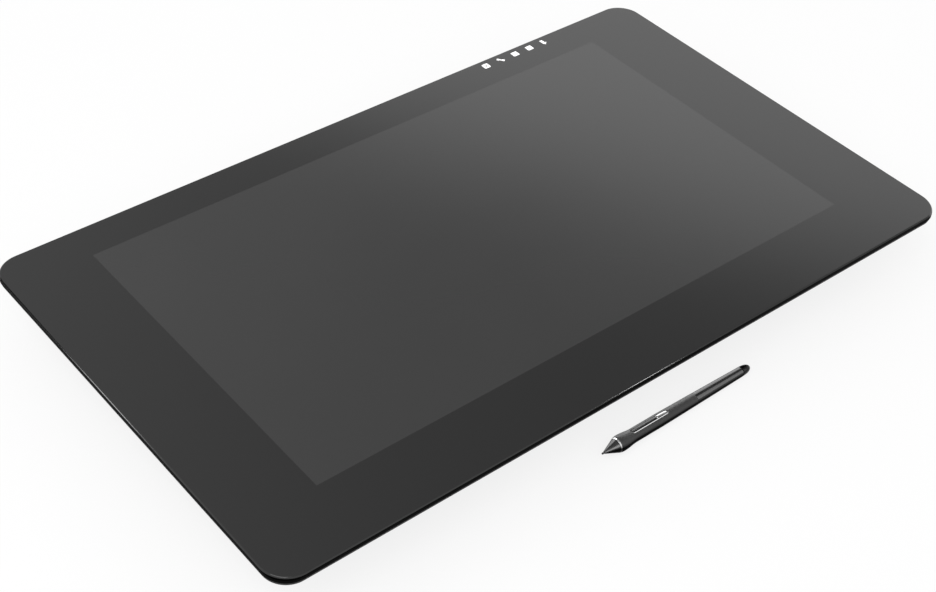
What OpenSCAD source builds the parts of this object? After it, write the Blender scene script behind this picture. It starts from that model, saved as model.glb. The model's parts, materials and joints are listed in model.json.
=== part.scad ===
// Graphics tablet with a screen, lying flat on its feet, and its pen in front of it.
// +X runs along the front edge to the right, +Y to the back, +Z up, in millimetres.
// The origin is on the table, under the middle of the tablet and pen together.

/* [Tablet] */
// Width of the cover glass
tablet_w = 677; // [660:1:700]
// Depth of the cover glass
tablet_d = 394; // [388:1:415]
// Height of the glass face above the table
tablet_h = 47; // [46:0.5:56]
// Corner radius of the glass, seen from above
corner_r = 21; // [12:1:28]
// Height of the dark rim under the glass
rim_h = 4; // [3.8:0.1:5]
// How far the rim stands in from the edge of the glass
rim_inset = 0.3; // [0.1:0.1:0.6]
// How far the rear cover steps in from the rim
cover_step = 1; // [0.5:0.1:1.5]
// Width of the bevel round the glass
glass_bevel = 1; // [0.3:0.1:1.4]
// Slack between pieces that drop into each other
fit_gap = 0.5; // [0.3:0.1:0.8]

/* [Screen] */
// Border of the glass beside the picture
side_border = 71; // [66:0.5:85]
// Border of the glass in front of the picture
front_border = 57.8; // [52:0.2:70]
// Border of the glass behind the picture
back_border = 34.2; // [32:0.2:44]
// Border of the panel round the picture
panel_border = 5; // [3:0.5:6]
// Thickness of the cover glass
glass_t = 2; // [1.5:0.1:3]
// Thickness of the adhesive under the glass
tape_t = 0.4; // [0.3:0.05:0.6]
// Thickness of the liquid crystal panel
panel_t = 1.6; // [1.2:0.1:2]
// Thickness of the stack of diffuser films
film_t = 0.8; // [0.6:0.1:1.2]
// Thickness of the light guide
guide_t = 3; // [2:0.1:4]
// Thickness of the backlight tray's sheet
tray_t = 0.8; // [0.6:0.1:1.2]
// Depth of the row of lamps at the front of the light guide
led_d = 3; // [2:0.1:4]
// Thickness of the pen sensor
sensor_t = 0.8; // [0.6:0.1:1.2]
// Thickness of the shield behind the pen sensor
shield_t = 0.8; // [0.5:0.1:1.2]

/* [Frame] */
// Thickness of the frame's outer and inner walls
frame_wall = 2.5; // [1.5:0.1:3]
// Thickness of the ledge that carries the glass
ledge_t = 1.2; // [1:0.1:1.6]
// Thickness of the frame's floor
floor_t = 2; // [1.5:0.1:2.5]
// Thickness of the frame's ribs
rib_t = 1.6; // [1:0.1:2]
// Length of the frame's screw bosses
frame_boss_h = 8; // [6:0.5:10]

/* [Rear cover] */
// Width of the flat belly
belly_w = 540; // [530:1:556]
// Depth of the flat belly
belly_d = 290; // [284:1:298]
// Corner radius of the belly, seen from above
belly_r = 40; // [30:1:50]
// Wall of the rear cover
cover_wall = 2.5; // [2:0.1:3]
// Height of the upright lip at the top of the rear cover
cover_lip = 2; // [1:0.1:3]
// Width of the soft edge round the belly
edge_w = 5; // [3:0.5:7]
// Height of the soft edge round the belly
edge_h = 1.2; // [0.8:0.1:1.8]
// Outer diameter of the screw bosses
boss_d = 9.2; // [8.6:0.1:10]

/* [Feet] */
// Height of the rubber feet under the belly
foot_h = 3; // [2:0.1:4]
// Depth of the feet's pockets
foot_sink = 1; // [0.6:0.1:1.4]
// Width of the feet
foot_w = 12; // [8:0.5:14]
// Length of the front feet
front_foot_l = 90; // [60:1:110]
// Length of the rear feet
rear_foot_l = 60; // [40:1:70]
// Distance of the front feet from the middle
front_foot_x = 170; // [160:1:180]

/* [Legs] */
// Width of a leg
leg_w = 96; // [80:1:100]
// Length of a leg from its hinge to its tip
leg_l = 106; // [95:1:112]
// Thickness of a leg
leg_t = 8; // [7:0.1:9]
// Distance of the legs from the middle
leg_x = 175; // [172:1:180]
// Distance of the hinges from the belly's back edge
leg_back = 20; // [18:0.5:24]
// How far a folded leg lies inside the belly
leg_recess = 0.6; // [0.4:0.1:1]
// Slack round a folded leg
leg_gap = 0.8; // [0.6:0.1:1.2]
// Slack behind a leg's knuckle
knuckle_gap = 1.2; // [1.1:0.1:1.6]
// Skin of a leg under its ribs
leg_skin = 2.4; // [1.8:0.1:3]
// Diameter of a hinge pin
pin_d = 4; // [3:0.1:4.4]
// Radial running clearance of the hinge pins
pin_slack = 0.05; // [0.02:0.01:0.1]
// Thickness of the hinge brackets' ears
ear_t = 4; // [3:0.1:5]
// Thickness of the hinge brackets' base
bracket_t = 2; // [1.8:0.1:2.6]
// Length of the rubber pad on a leg's tip
pad_l = 9; // [7:0.5:12]
// Width of the finger scoop at a leg's tip
scoop_w = 36; // [26:1:50]
// Length of the finger scoop
scoop_l = 14; // [10:0.5:18]

/* [Wall mount] */
// Hole spacing of the mounting plate
mount_pitch = 100; // [100:1:100]
// Size of the square mounting plate
mount_plate_w = 125; // [122:1:126]
// Thickness of the mounting plate
mount_plate_t = 2; // [1.6:0.1:2.5]
// Diameter of the mounting plate's threads
mount_hole_d = 4; // [3:0.1:5]
// Height of the threaded bushes on the plate
bush_h = 6; // [4:0.5:8]

/* [Ports] */
// Width of the bay for the plugs
bay_w = 150; // [140:1:156]
// Height of the bay for the plugs
bay_h = 17; // [15:0.5:18]
// Height of the bay's floor above the belly
bay_up = 8; // [7:0.5:9]
// Distance of the bay's wall from the belly's back edge
bay_back = 25; // [20:0.5:28]
// Slack of the sockets in the bay's wall
port_gap = 0.3; // [0.2:0.05:0.4]
// How far the sockets stand out of the bay's wall
port_proud = 1; // [0.5:0.1:2]
// Depth of the sockets
port_d = 16; // [13:0.5:18]

/* [Boards and fan] */
// Width of the main board
board_w = 178; // [160:1:182]
// Depth of the main board
board_d = 103; // [94:1:108]
// Thickness of the circuit boards
board_t = 1.6; // [1:0.1:2]
// Height of the main board above the bay's floor
board_up = 6; // [5:0.1:7]
// Side of the square fan
fan_w = 50; // [44:1:52]
// Height of the fan
fan_h = 12; // [10:0.5:14]
// Distance of the fan from the middle
fan_x = 95; // [94:0.5:96]
// Number of blades on the fan
fan_blades = 19; // [11:1:25]
// Diameter of the fan's shaft
fan_shaft_d = 3; // [2:0.1:4]

/* [Grilles] */
// Width of the exhaust grilles
exhaust_w = 110; // [80:1:120]
// Depth of the exhaust grilles
exhaust_d = 24; // [16:1:28]
// Width of the intake grilles
intake_w = 44; // [36:1:48]
// Depth of the intake grilles
intake_d = 60; // [50:1:70]
// Thickness of the grilles
grille_t = 1.5; // [1.2:0.1:1.6]
// Width of the slots
slot_w = 2.4; // [1.6:0.1:3]
// Spacing of the slots
slot_pitch = 5; // [4:0.1:6]

/* [Keys] */
// Spacing of the touch keys
key_pitch = 17.5; // [15:0.5:19]
// Distance of the middle touch key from the right edge
key_right = 145; // [135:1:155]
// Distance of the touch keys from the back edge
key_back = 9; // [8.6:0.1:9.4]
// Depth of the key board
key_board_d = 7; // [5:0.1:8]
// Thickness of the key board
key_board_t = 0.8; // [0.7:0.05:1]
// Distance of the power button from the right edge
power_right = 76.5; // [70:0.5:78]
// Width of the power button
power_w = 14; // [10:0.5:18]
// Height of the power button
power_h = 1.8; // [1.4:0.1:2]
// Travel of the power button
power_travel = 0.5; // [0.3:0.05:0.6]
// Slack round the power button
power_gap = 0.3; // [0.3:0.05:0.4]

/* [Pen] */
// Length of the pen
pen_l = 158; // [150:1:165]
// Largest diameter, at the front of the grip
pen_grip_d = 13.4; // [13:0.1:14.4]
// Diameter of the grip behind its flare
pen_body_d = 11.2; // [10.8:0.1:11.6]
// Diameter at the tail
pen_tail_d = 8.3; // [7.6:0.1:9]
// Gap between the tablet and the pen
pen_gap = 4.5; // [4:0.1:20]
// Place of the pen's tip along the front edge
pen_x = -58.5; // [-100:0.5:0]
// Turn of the pen against the front edge
pen_turn = 0.8; // [0:0.1:2]
// Length of the nose cone, nib included
pen_nose_l = 14.2; // [13:0.1:15.4]
// Length of the bright ring
pen_ring_l = 1.4; // [1:0.1:2]
// Place of the seam between grip and barrel
pen_seam = 98; // [94:0.5:104]
// Length of the eraser
pen_eraser_l = 8; // [6:0.5:9]
// Diameter of the tube inside the grip
pen_tube_d = 8.6; // [8.4:0.1:8.8]
// Wall of that tube
pen_tube_wall = 0.8; // [0.6:0.1:0.9]
// Diameter of the nib
nib_d = 1.6; // [1.2:0.1:2]
// Travel of the nib
nib_travel = 0.8; // [0.4:0.1:1]
// Travel of the eraser
eraser_travel = 0.7; // [0.4:0.1:1]
// Place of the side switch behind the pen's tip
switch_x = 29.5; // [29:0.5:33]
// Length of the side switch with its trim
switch_l = 38.5; // [34:0.5:40]
// Width of the side switch with its trim
switch_w = 5.2; // [4.8:0.1:5.4]
// Wall of the side switch's trim
trim_wall = 0.6; // [0.5:0.05:0.7]
// Slack round the side switch
switch_gap = 0.3; // [0.3:0.05:0.4]
// Running clearance of the pen's small bearings
pen_slack = 0.06; // [0.03:0.01:0.1]

/* [Hidden] */
$fn = 64;
hull_fn = 72;

// Places in the shared frame
tablet_y = (pen_gap + pen_grip_d) / 2;
pen_mid_y = -(tablet_d + pen_gap) / 2;

// Heights of the screen's layers, from the glass down
z_glass = tablet_h - glass_t;
z_ledge = z_glass - tape_t;
z_rim = z_glass - rim_h;
z_panel = z_glass - panel_t;
z_film = z_panel - film_t;
z_guide = z_film - guide_t;
z_tray = z_guide - tray_t;
z_sensor = z_tray - sensor_t;
z_shield = z_sensor - shield_t;
z_floor = z_shield - floor_t;
z_belly = foot_h;
over = 1;

// Plan sizes of the picture and the screen's layers
screen_w = tablet_w - 2 * side_border;
screen_d = tablet_d - front_border - back_border;
screen_y = (front_border - back_border) / 2;
panel_w = screen_w + 2 * panel_border;
panel_d = screen_d + 2 * panel_border;
tray_w = panel_w + 2 * (fit_gap + tray_t);
tray_d = panel_d + 2 * (fit_gap + tray_t);
pocket_w = tray_w + 2 * fit_gap;
pocket_d = tray_d + 2 * fit_gap;
pocket_r = 2 * fit_gap;
led_h = guide_t - 1;
led_pitch = 12;

// Rear cover: slopes, walls and the bay
cover_inset = rim_inset + cover_step;
slope_rise = z_rim - cover_lip - z_belly - edge_h;
slope_run_x = tablet_w / 2 - cover_inset - belly_w / 2;
slope_run_y = tablet_d / 2 - cover_inset - belly_d / 2;
slope_a_x = atan2(slope_rise, slope_run_x);
slope_a_y = atan2(slope_rise, slope_run_y);
slope_a = min(slope_a_x, slope_a_y);
wall_run = cover_wall / sin(slope_a);
inner_belly_inset = wall_run - (cover_wall - edge_h) / tan(slope_a);
slice = 0.2;
mount_plate_r = 6;
bay_y = belly_d / 2 - bay_back;
bay_z0 = z_belly + bay_up;

// Legs, hinges and their wells
leg_y = belly_d / 2 - leg_back;
leg_z0 = z_belly + leg_recess;
pin_z = leg_z0 + leg_t / 2;
bracket_z = leg_z0 + leg_t + leg_gap;
well_z = bracket_z + bracket_t;
ear_r = leg_t / 2;
pin_r = pin_d / 2;
barrel_w = leg_w - 2 * (ear_t + leg_gap);
shoulder = ear_r + leg_gap;
scoop_h = leg_recess + leg_t;
leg_corner = 6;
tongue_t = leg_t / 3;
tongue_l = pad_l / 2;
pad_gap = 0.05;
bracket_front = 15;
hinge_screw_x = leg_w / 2 - 18;
hinge_screw_y = -bracket_front + 4.5;

// Screws: shank radius, head radius, head height
case_screw = [1.4, 2.7, 2];
board_screw = [1.2, 2.2, 1.4];
sink_screw = [1.2, 2.6, 1.4];
sink_grip = 5;
sink_boss_r = 3.6;
sink_boss_h = sink_grip + 1;
screw_gap = 0.3;
thread_gap = 0.05;
boss_top = z_floor - frame_boss_h;
boss_land = 6;
case_seat = boss_top - boss_land;
case_screw_l = boss_land + frame_boss_h - 1;
side_in = 23;
case_spots = [
    [105, -(belly_d / 2 - 17)], [belly_w / 2 - 28, -(belly_d / 2 - 33)],
    [belly_w / 2 - side_in, 15], [105, belly_d / 2 - 15]
];

// Feet
front_foot_y = -(belly_d / 2 - 17);
rear_foot_x = belly_w / 2 - 22;
rear_foot_y = belly_d / 2 - 55;

// Boards, sockets and fan
board_x = -23;
board_y1 = bay_y - cover_wall - fit_gap;
board_y = board_y1 - board_d / 2;
board_z = bay_z0 + board_up;
port_z = board_z + board_t;
post_d = 7;
post_in = 7;
post_back = 25;
board_spots = [
    for (sx = [-1, 1], y = [board_y1 - board_d + post_in, board_y1 - post_back])
        [board_x + sx * (board_w / 2 - post_in), y]
];
sensor_board_w = 80;
sensor_board_d = 60;
sensor_board_y = 40;
sensor_post_h = 5;
sensor_board_z = z_floor - sensor_post_h - board_t;
sensor_spots = [
    for (sx = [-1, 1], sy = [-1, 1])
        [-leg_x + sx * (sensor_board_w / 2 - post_in), sensor_board_y + sy * (sensor_board_d / 2 - post_in)]
];
fan_y = bay_y - 54;
fan_z = z_floor - fan_h;
fan_skin = 1.2;
fan_cavity_r = fan_w / 2 - 3;
fan_rotor_r = fan_cavity_r - 2;
fan_hub_r = fan_rotor_r / 2;
fan_air = 0.5;
fan_screw_at = fan_w / 2 - 3.2;
sink_l = 22;
sink_gap = 1;
sink_fins = 13;
sink_base = 2;
fin_t = 1;

// Sockets: distance from the middle, width, height, and the cuts of the left and right lower corners
power_port = [-58, 9, 9, 0.4, 0.4];
hdmi_port = [-28, 15.2, 5.8, 1.8, 1.8];
display_port = [4, 18, 6, 0.4, 2.2];
shell_ports = [power_port, hdmi_port, display_port];
usb_port = [34, 9, 3.4];
// Contact tongues: width and thickness
hdmi_tongue = [10, 1.2];
display_tongue = [13, 1.2];
usb_tongue = [6.6, 0.7];
port_wall = 0.4;
port_back_t = 2;
port_y1 = bay_y + port_proud;
port_y0 = port_y1 - port_d;

// Grilles
exhaust_x = bay_w / 2 + 14 + exhaust_w / 2;
slope_mid_y = belly_d / 2 + slope_run_y / 2;
slope_mid_z = z_belly + edge_h + slope_rise / 2;
grille_rest = 2;
grille_r = 4;
grille_gap = 0.2;

// Keys and power button
key_x = tablet_w / 2 - key_right;
key_y = tablet_d / 2 - key_back;
power_x = tablet_w / 2 - power_right;
key_end = 7;
key_board_x0 = key_x - 2 * key_pitch - key_end;
key_board_x1 = power_x + power_w / 2 + key_end;
power_z = z_glass - key_board_t - power_gap - power_h / 2 - 0.1;
wall_out = tablet_d / 2 - rim_inset;
wall_in = wall_out - frame_wall;
power_flange_t = 0.8;
power_flange_w = power_w + 4;
power_switch_w = 6;
power_switch_y1 = wall_in - power_flange_t - power_travel - 0.3;

// Pen: stations along its axis, from the tip
grip_r = pen_grip_d / 2;
body_r = pen_body_d / 2;
tail_r = pen_tail_d / 2;
grip_x = pen_nose_l + pen_ring_l;
peak_x = grip_x + 3.6;
flare_end = peak_x + 13.8;
taper_x = 60;
shoulder_r = grip_r - 0.45;
cone_r = grip_r - 1;
tail_x = pen_l - pen_eraser_l;
tube_r = pen_tube_d / 2;
bore_r = tube_r - pen_tube_wall;
nib_r = nib_d / 2;
nib_out = 2.6;
ferrite_x = 9.5;
nose_spigot_l = 7;
gauge_x = pen_nose_l + nose_spigot_l + 0.6;
gauge_l = switch_x - gauge_x - 0.3;
nib_l = gauge_x - nib_travel - 0.5;
stem_r = 1.8;
stem_l = 5;
taper_power = 1.1;
pen_tilt = asin((grip_r - tail_r) / (tail_x - peak_x));
pen_lift = 0.02;
pen_tip_y = pen_mid_y - peak_x * cos(pen_tilt) * sin(pen_turn);
pen_tip_z = grip_r * cos(pen_tilt) + peak_x * sin(pen_tilt) + pen_lift;
rocker_l = switch_l - 2 * (trim_wall + switch_gap);
rocker_pivot_x = switch_x + switch_l / 2;
slot_z = tube_r - 1.4;
pivot_z = slot_z + 0.85;
pivot_r = 0.6;
rocker_z = slot_z + 0.35;
trim_r = body_r + 0.1;

// Radius of the pen's skin at a distance from its tip
function pen_r(x) =
    x < peak_x
        ? grip_r - (grip_r - shoulder_r) * pow((peak_x - x) / (peak_x - grip_x), 2)
        : x < flare_end
            ? body_r + (grip_r - body_r) * (1 + cos(180 * (x - peak_x) / (flare_end - peak_x))) / 2
            : x < taper_x
                ? body_r
                : body_r - (body_r - tail_r) * pow((x - taper_x) / (tail_x - taper_x), taper_power);

// Points of the pen's skin between two stations
function pen_skin(x0, x1, n) = [for (i = [0:n]) let (x = x0 + (x1 - x0) * i / n) [pen_r(x), x]];

// Helpers
module at_tablet() {
    translate([0, tablet_y, 0]) children();
}

module at_screen() {
    at_tablet() translate([0, screen_y, 0]) children();
}

module at_pen() {
    translate([pen_x, pen_tip_y, pen_tip_z]) rotate([0, pen_tilt, pen_turn]) children();
}

module both_sides() {
    for (flip = [0, 1]) mirror([flip, 0, 0]) children();
}

module rounded_rect(w, d, r) {
    square([w - 2 * r, d], center = true);
    square([w, d - 2 * r], center = true);
    for (sx = [-1, 1], sy = [-1, 1]) translate([sx * (w / 2 - r), sy * (d / 2 - r)]) circle(r);
}

module stadium(l, w) {
    square([l - w, w], center = true);
    for (s = [-1, 1]) translate([s * (l - w) / 2, 0]) circle(d = w);
}

module slab(w, d, r, z0, z1) {
    translate([0, 0, z0]) linear_extrude(z1 - z0) rounded_rect(w, d, r);
}

module sheet(w, d, z0, z1) {
    translate([-w / 2, -d / 2, z0]) cube([w, d, z1 - z0]);
}

module glass_outline(inset) {
    rounded_rect(tablet_w - 2 * inset, tablet_d - 2 * inset, corner_r - inset);
}

module glass_slab(inset, z0, z1) {
    translate([0, 0, z0]) linear_extrude(z1 - z0) glass_outline(inset);
}

module belly_slab(inset, z0, z1) {
    slab(belly_w - 2 * inset, belly_d - 2 * inset, belly_r - inset, z0, z1);
}

// A profile drawn in the YZ plane, centred on x = 0
module across(w) {
    rotate([90, 0, 90]) linear_extrude(w, center = true) children();
}

// A profile drawn in the XZ plane, running from y0 to y1
module along_y(y0, y1) {
    translate([0, y1, 0]) rotate([90, 0, 0]) linear_extrude(y1 - y0) children();
}

// A body turned about the pen's axis, drawn as radius and distance from the tip
module turned() {
    rotate([0, 90, 0]) rotate_extrude() children();
}

// A screw whose head bears upwards at z = 0 and whose shank points up
module screw(size, l) {
    translate([0, 0, -size[2]]) cylinder(r = size[1], h = size[2]);
    cylinder(r = size[0], h = l);
}

// A countersunk screw whose flat head lies at z = 0 and whose shank points up
module sunk_screw(size, l) {
    cylinder(r1 = size[1], r2 = size[0], h = size[2]);
    translate([0, 0, size[2]]) cylinder(r = size[0], h = l - size[2]);
}

module sunk_hole(size, l, gap) {
    translate([0, 0, -over]) cylinder(r = size[1] + gap, h = over);
    cylinder(r1 = size[1] + gap, r2 = size[0] + gap, h = size[2]);
    cylinder(r = size[0] + gap, h = l);
}

// Screen stack
module cover_glass() {
    color([0.05, 0.05, 0.055]) at_tablet() hull($fn = hull_fn) {
        glass_slab(0, z_glass, tablet_h - glass_bevel);
        glass_slab(glass_bevel, z_glass, tablet_h);
    }
}

module key_window(gap, z0, z1) {
    w = key_board_x1 - key_board_x0 + 2 * gap;
    d = key_board_d + 2 * gap;
    translate([(key_board_x0 + key_board_x1) / 2, key_y, 0]) sheet(w, d, z0, z1);
}

module glass_adhesive() {
    color([0.12, 0.12, 0.12]) at_tablet() difference() {
        glass_slab(rim_inset + 1.5, z_ledge, z_glass);
        translate([0, screen_y, 0])
            slab(pocket_w + 2, pocket_d + 2, pocket_r, z_ledge - over, z_glass + over);
        key_window(2 * fit_gap, z_ledge - over, z_glass + over);
    }
}

module lcd_panel() {
    color([0.1, 0.1, 0.12]) at_screen() sheet(panel_w, panel_d, z_panel, z_glass);
}

module diffuser_films() {
    color([0.92, 0.92, 0.9]) at_screen() sheet(panel_w, panel_d, z_film, z_panel);
}

module light_guide() {
    color([0.85, 0.9, 0.92]) at_screen() translate([0, led_d / 2, 0])
        sheet(panel_w, panel_d - led_d, z_guide, z_film);
}

module led_strip() {
    strip_t = 1;
    count = floor((panel_w - led_pitch) / led_pitch);
    color([0.95, 0.93, 0.8]) at_screen() translate([0, -panel_d / 2, 0]) {
        translate([-panel_w / 2, 0, z_guide]) cube([panel_w, strip_t, led_h]);
        for (i = [0:count - 1])
            translate([(i - (count - 1) / 2) * led_pitch - 2, strip_t, z_guide])
                cube([4, led_d - strip_t, led_h]);
    }
}

module backlight_tray() {
    color([0.75, 0.76, 0.78]) at_screen() difference() {
        sheet(tray_w, tray_d, z_tray, z_panel);
        sheet(tray_w - 2 * tray_t, tray_d - 2 * tray_t, z_guide, z_panel + over);
    }
}

module pen_sensor() {
    color([0.1, 0.35, 0.2]) at_screen() sheet(tray_w, tray_d, z_sensor, z_tray);
}

module sensor_shield() {
    color([0.7, 0.71, 0.73]) at_screen() sheet(tray_w, tray_d, z_shield, z_sensor);
}

// Frame
module frame_ribs() {
    rib_z0 = z_rim;
    rib_z1 = z_ledge - ledge_t / 2;
    in_x = pocket_w / 2 + frame_wall / 2;
    for (i = [-3:3], side = [-1, 1]) {
        pocket_edge = side * (pocket_d + frame_wall) / 2 + screen_y;
        frame_edge = side * (wall_in + frame_wall / 2);
        translate([i * pocket_w / 7 - rib_t / 2, min(pocket_edge, frame_edge), rib_z0])
            cube([rib_t, abs(frame_edge - pocket_edge), rib_z1 - rib_z0]);
    }
    for (j = [-2:2], side = [-1, 1])
        translate([side > 0 ? in_x : -tablet_w / 2 + rim_inset + frame_wall / 2, j * pocket_d / 5, rib_z0])
            cube([tablet_w / 2 - rim_inset - frame_wall / 2 - in_x, rib_t, rib_z1 - rib_z0]);
}

module power_slot() {
    translate([power_x, 0, power_z]) along_y(wall_in - over, tablet_d / 2 + over)
        stadium(power_w + 2 * power_gap, power_h + 2 * power_gap);
}

// Room in the ledge for the power button's flange and the switch behind it
module power_pocket() {
    w = power_flange_w + 2 * fit_gap;
    translate([power_x - w / 2, key_y, z_rim]) cube([w, wall_in - key_y, z_ledge + over - z_rim]);
}

module mid_frame() {
    rim_edge = 1;
    boss_r = boss_d / 2;
    tub_w = pocket_w + 2 * frame_wall;
    tub_d = pocket_d + 2 * frame_wall;
    color([0.06, 0.06, 0.065]) at_tablet() difference() {
        union() {
            difference() {
                hull($fn = hull_fn) {
                    glass_slab(rim_inset, z_rim + rim_edge, z_ledge);
                    glass_slab(rim_inset + rim_edge / 2, z_rim, z_ledge);
                }
                glass_slab(rim_inset + frame_wall, z_rim - over, z_ledge - ledge_t);
            }
            frame_ribs();
            translate([0, screen_y, 0])
                slab(tub_w, tub_d, pocket_r + frame_wall, z_floor, z_ledge);
            both_sides() for (p = case_spots)
                translate([p[0], p[1], boss_top]) cylinder(r = boss_r, h = frame_boss_h + floor_t / 2);
            for (p = board_spots)
                translate([p[0], p[1], port_z]) cylinder(d = post_d, h = z_floor - port_z + floor_t / 2);
            for (p = sensor_spots)
                translate([p[0], p[1], sensor_board_z + board_t])
                    cylinder(d = post_d, h = sensor_post_h + floor_t / 2);
        }
        translate([0, screen_y, 0]) slab(pocket_w, pocket_d, pocket_r, z_shield, z_ledge + over);
        key_window(fit_gap, z_rim, z_ledge + over);
        power_pocket();
        power_slot();
        both_sides() for (p = case_spots)
            translate([p[0], p[1], boss_top - over])
                cylinder(r = case_screw[0] + thread_gap, h = frame_boss_h + over);
        for (p = board_spots)
            translate([p[0], p[1], port_z - over])
                cylinder(r = board_screw[0] + thread_gap, h = z_floor - port_z + over);
        for (p = sensor_spots)
            translate([p[0], p[1], z_floor - sensor_post_h - over])
                cylinder(r = board_screw[0] + thread_gap, h = sensor_post_h + floor_t / 2 + over);
        for (s = [-1, 1])
            translate([fan_x + s * fan_screw_at, fan_y + s * fan_screw_at, z_floor - over])
                cylinder(r = board_screw[0] + thread_gap, h = floor_t / 2 + over);
    }
}

module touch_key_board() {
    switch_d = 3;
    color([0.08, 0.2, 0.12]) at_tablet() {
        key_window(0, z_glass - key_board_t, z_glass);
        translate([power_x - power_switch_w / 2, power_switch_y1 - switch_d, power_z - power_h / 2])
            cube([power_switch_w, switch_d, z_glass - key_board_t - power_z + power_h / 2]);
    }
}

module power_button() {
    button_gap = 0.1;
    color([0.09, 0.09, 0.095]) at_tablet() translate([power_x, 0, power_z]) {
        along_y(wall_in - button_gap - power_flange_t / 2, wall_out + rim_inset) stadium(power_w, power_h);
        translate([0, wall_in - button_gap - power_flange_t / 2, 0])
            cube([power_flange_w, power_flange_t, power_h], center = true);
    }
}

// Boards and sockets
module main_board() {
    // Chips as place from the board's middle, size and height
    chips = [[10, -14, 26, 26, 2], [-40, -20, 14, 14, 1.4], [-60, 6, 10, 18, 1.4], [48, -30, 16, 9, 2.4]];
    color([0.07, 0.25, 0.15]) at_tablet() translate([board_x, board_y, 0]) difference() {
        union() {
            sheet(board_w, board_d, board_z, port_z);
            for (c = chips) translate([c[0], c[1], 0]) sheet(c[2], c[3], port_z - board_t / 2, port_z + c[4]);
        }
        for (p = board_spots)
            translate([p[0] - board_x, p[1] - board_y, board_z - over])
                cylinder(r = board_screw[0] + screw_gap, h = board_t + 2 * over);
    }
}

module sensor_board() {
    chip_w = 18;
    chip_h = 1.4;
    color([0.07, 0.25, 0.15]) at_tablet() translate([-leg_x, sensor_board_y, 0]) difference() {
        union() {
            sheet(sensor_board_w, sensor_board_d, sensor_board_z, sensor_board_z + board_t);
            sheet(chip_w, chip_w, sensor_board_z - chip_h, sensor_board_z + board_t / 2);
        }
        for (p = sensor_spots)
            translate([p[0] + leg_x, p[1] - sensor_board_y, sensor_board_z - over])
                cylinder(r = board_screw[0] + screw_gap, h = board_t + 2 * over);
    }
}

module board_screws() {
    main_grip = 7;
    sensor_grip = 5;
    color([0.7, 0.7, 0.72]) at_tablet() {
        for (p = board_spots) translate([p[0], p[1], board_z]) screw(board_screw, board_t + main_grip);
        for (p = sensor_spots)
            translate([p[0], p[1], sensor_board_z]) screw(board_screw, board_t + sensor_grip);
    }
}

// The outline of a socket seen from the back, with its lower corners cut
module port_outline(port, grow) {
    w = port[1] / 2 + grow;
    h = port[2] / 2 + grow;
    left = port[3];
    right = port[4];
    polygon([[-w, h], [w, h], [w, right - h], [w - right, -h], [left - w, -h], [-w, left - h]]);
}

module usb_outline(grow) {
    stadium(usb_port[1] + 2 * grow, usb_port[2] + 2 * grow);
}

// A profile at a socket's place, running from y0 to y1
module at_port(port, y0, y1) {
    translate([port[0], 0, port_z + port[2] / 2]) along_y(y0, y1) children();
}

// A metal socket shell standing on the main board, open to the back
module port_shell(port) {
    difference() {
        at_port(port, port_y0, port_y1) port_outline(port, 0);
        at_port(port, port_y0 + port_back_t, port_y1 + over) port_outline(port, -port_wall);
    }
}

// The contact tongue inside a socket
module port_tongue(port, size) {
    tongue_in = 1.5;
    at_port(port, port_y0 + port_back_t / 2, port_y1 - tongue_in) square(size, center = true);
}

module power_socket() {
    bore_d = 5.6;
    bore_l = 10;
    pin_in = 1;
    core_d = 2;
    color([0.05, 0.05, 0.05]) at_tablet() {
        difference() {
            at_port(power_port, port_y0, port_y1) port_outline(power_port, 0);
            at_port(power_port, port_y1 - bore_l, port_y1 + over) circle(d = bore_d);
        }
        at_port(power_port, port_y1 - bore_l - over, port_y1 - pin_in) circle(d = core_d);
    }
}

module hdmi_socket() {
    color([0.72, 0.72, 0.74]) at_tablet() {
        port_shell(hdmi_port);
        port_tongue(hdmi_port, hdmi_tongue);
    }
}

module displayport_socket() {
    color([0.72, 0.72, 0.74]) at_tablet() {
        port_shell(display_port);
        port_tongue(display_port, display_tongue);
    }
}

module usb_c_socket() {
    color([0.72, 0.72, 0.74]) at_tablet() {
        difference() {
            at_port(usb_port, port_y0, port_y1) usb_outline(0);
            at_port(usb_port, port_y0 + port_back_t, port_y1 + over) usb_outline(-port_wall);
        }
        port_tongue(usb_port, usb_tongue);
    }
}

// Fan and heat sink
module fan_housing() {
    inlet_r = fan_cavity_r * 0.72;
    shaft_z = fan_z + fan_skin + 2;
    color([0.04, 0.04, 0.045]) at_tablet() translate([fan_x, fan_y, 0]) {
        difference() {
            slab(fan_w, fan_w, 3, fan_z, z_floor);
            translate([0, 0, fan_z + fan_skin]) cylinder(r = fan_cavity_r, h = fan_h - 2 * fan_skin);
            translate([-fan_cavity_r + 4, 0, fan_z + fan_skin])
                cube([2 * fan_cavity_r - 8, fan_w, fan_h - 2 * fan_skin]);
            translate([0, 0, fan_z - over]) cylinder(r = inlet_r, h = fan_skin + 2 * over);
            for (s = [-1, 1])
                translate([s * fan_screw_at, s * fan_screw_at, fan_z - over])
                    cylinder(r = board_screw[0] + screw_gap, h = fan_h + 2 * over);
        }
        translate([0, 0, shaft_z]) cylinder(d = fan_shaft_d, h = z_floor - fan_skin / 2 - shaft_z);
    }
}

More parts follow.
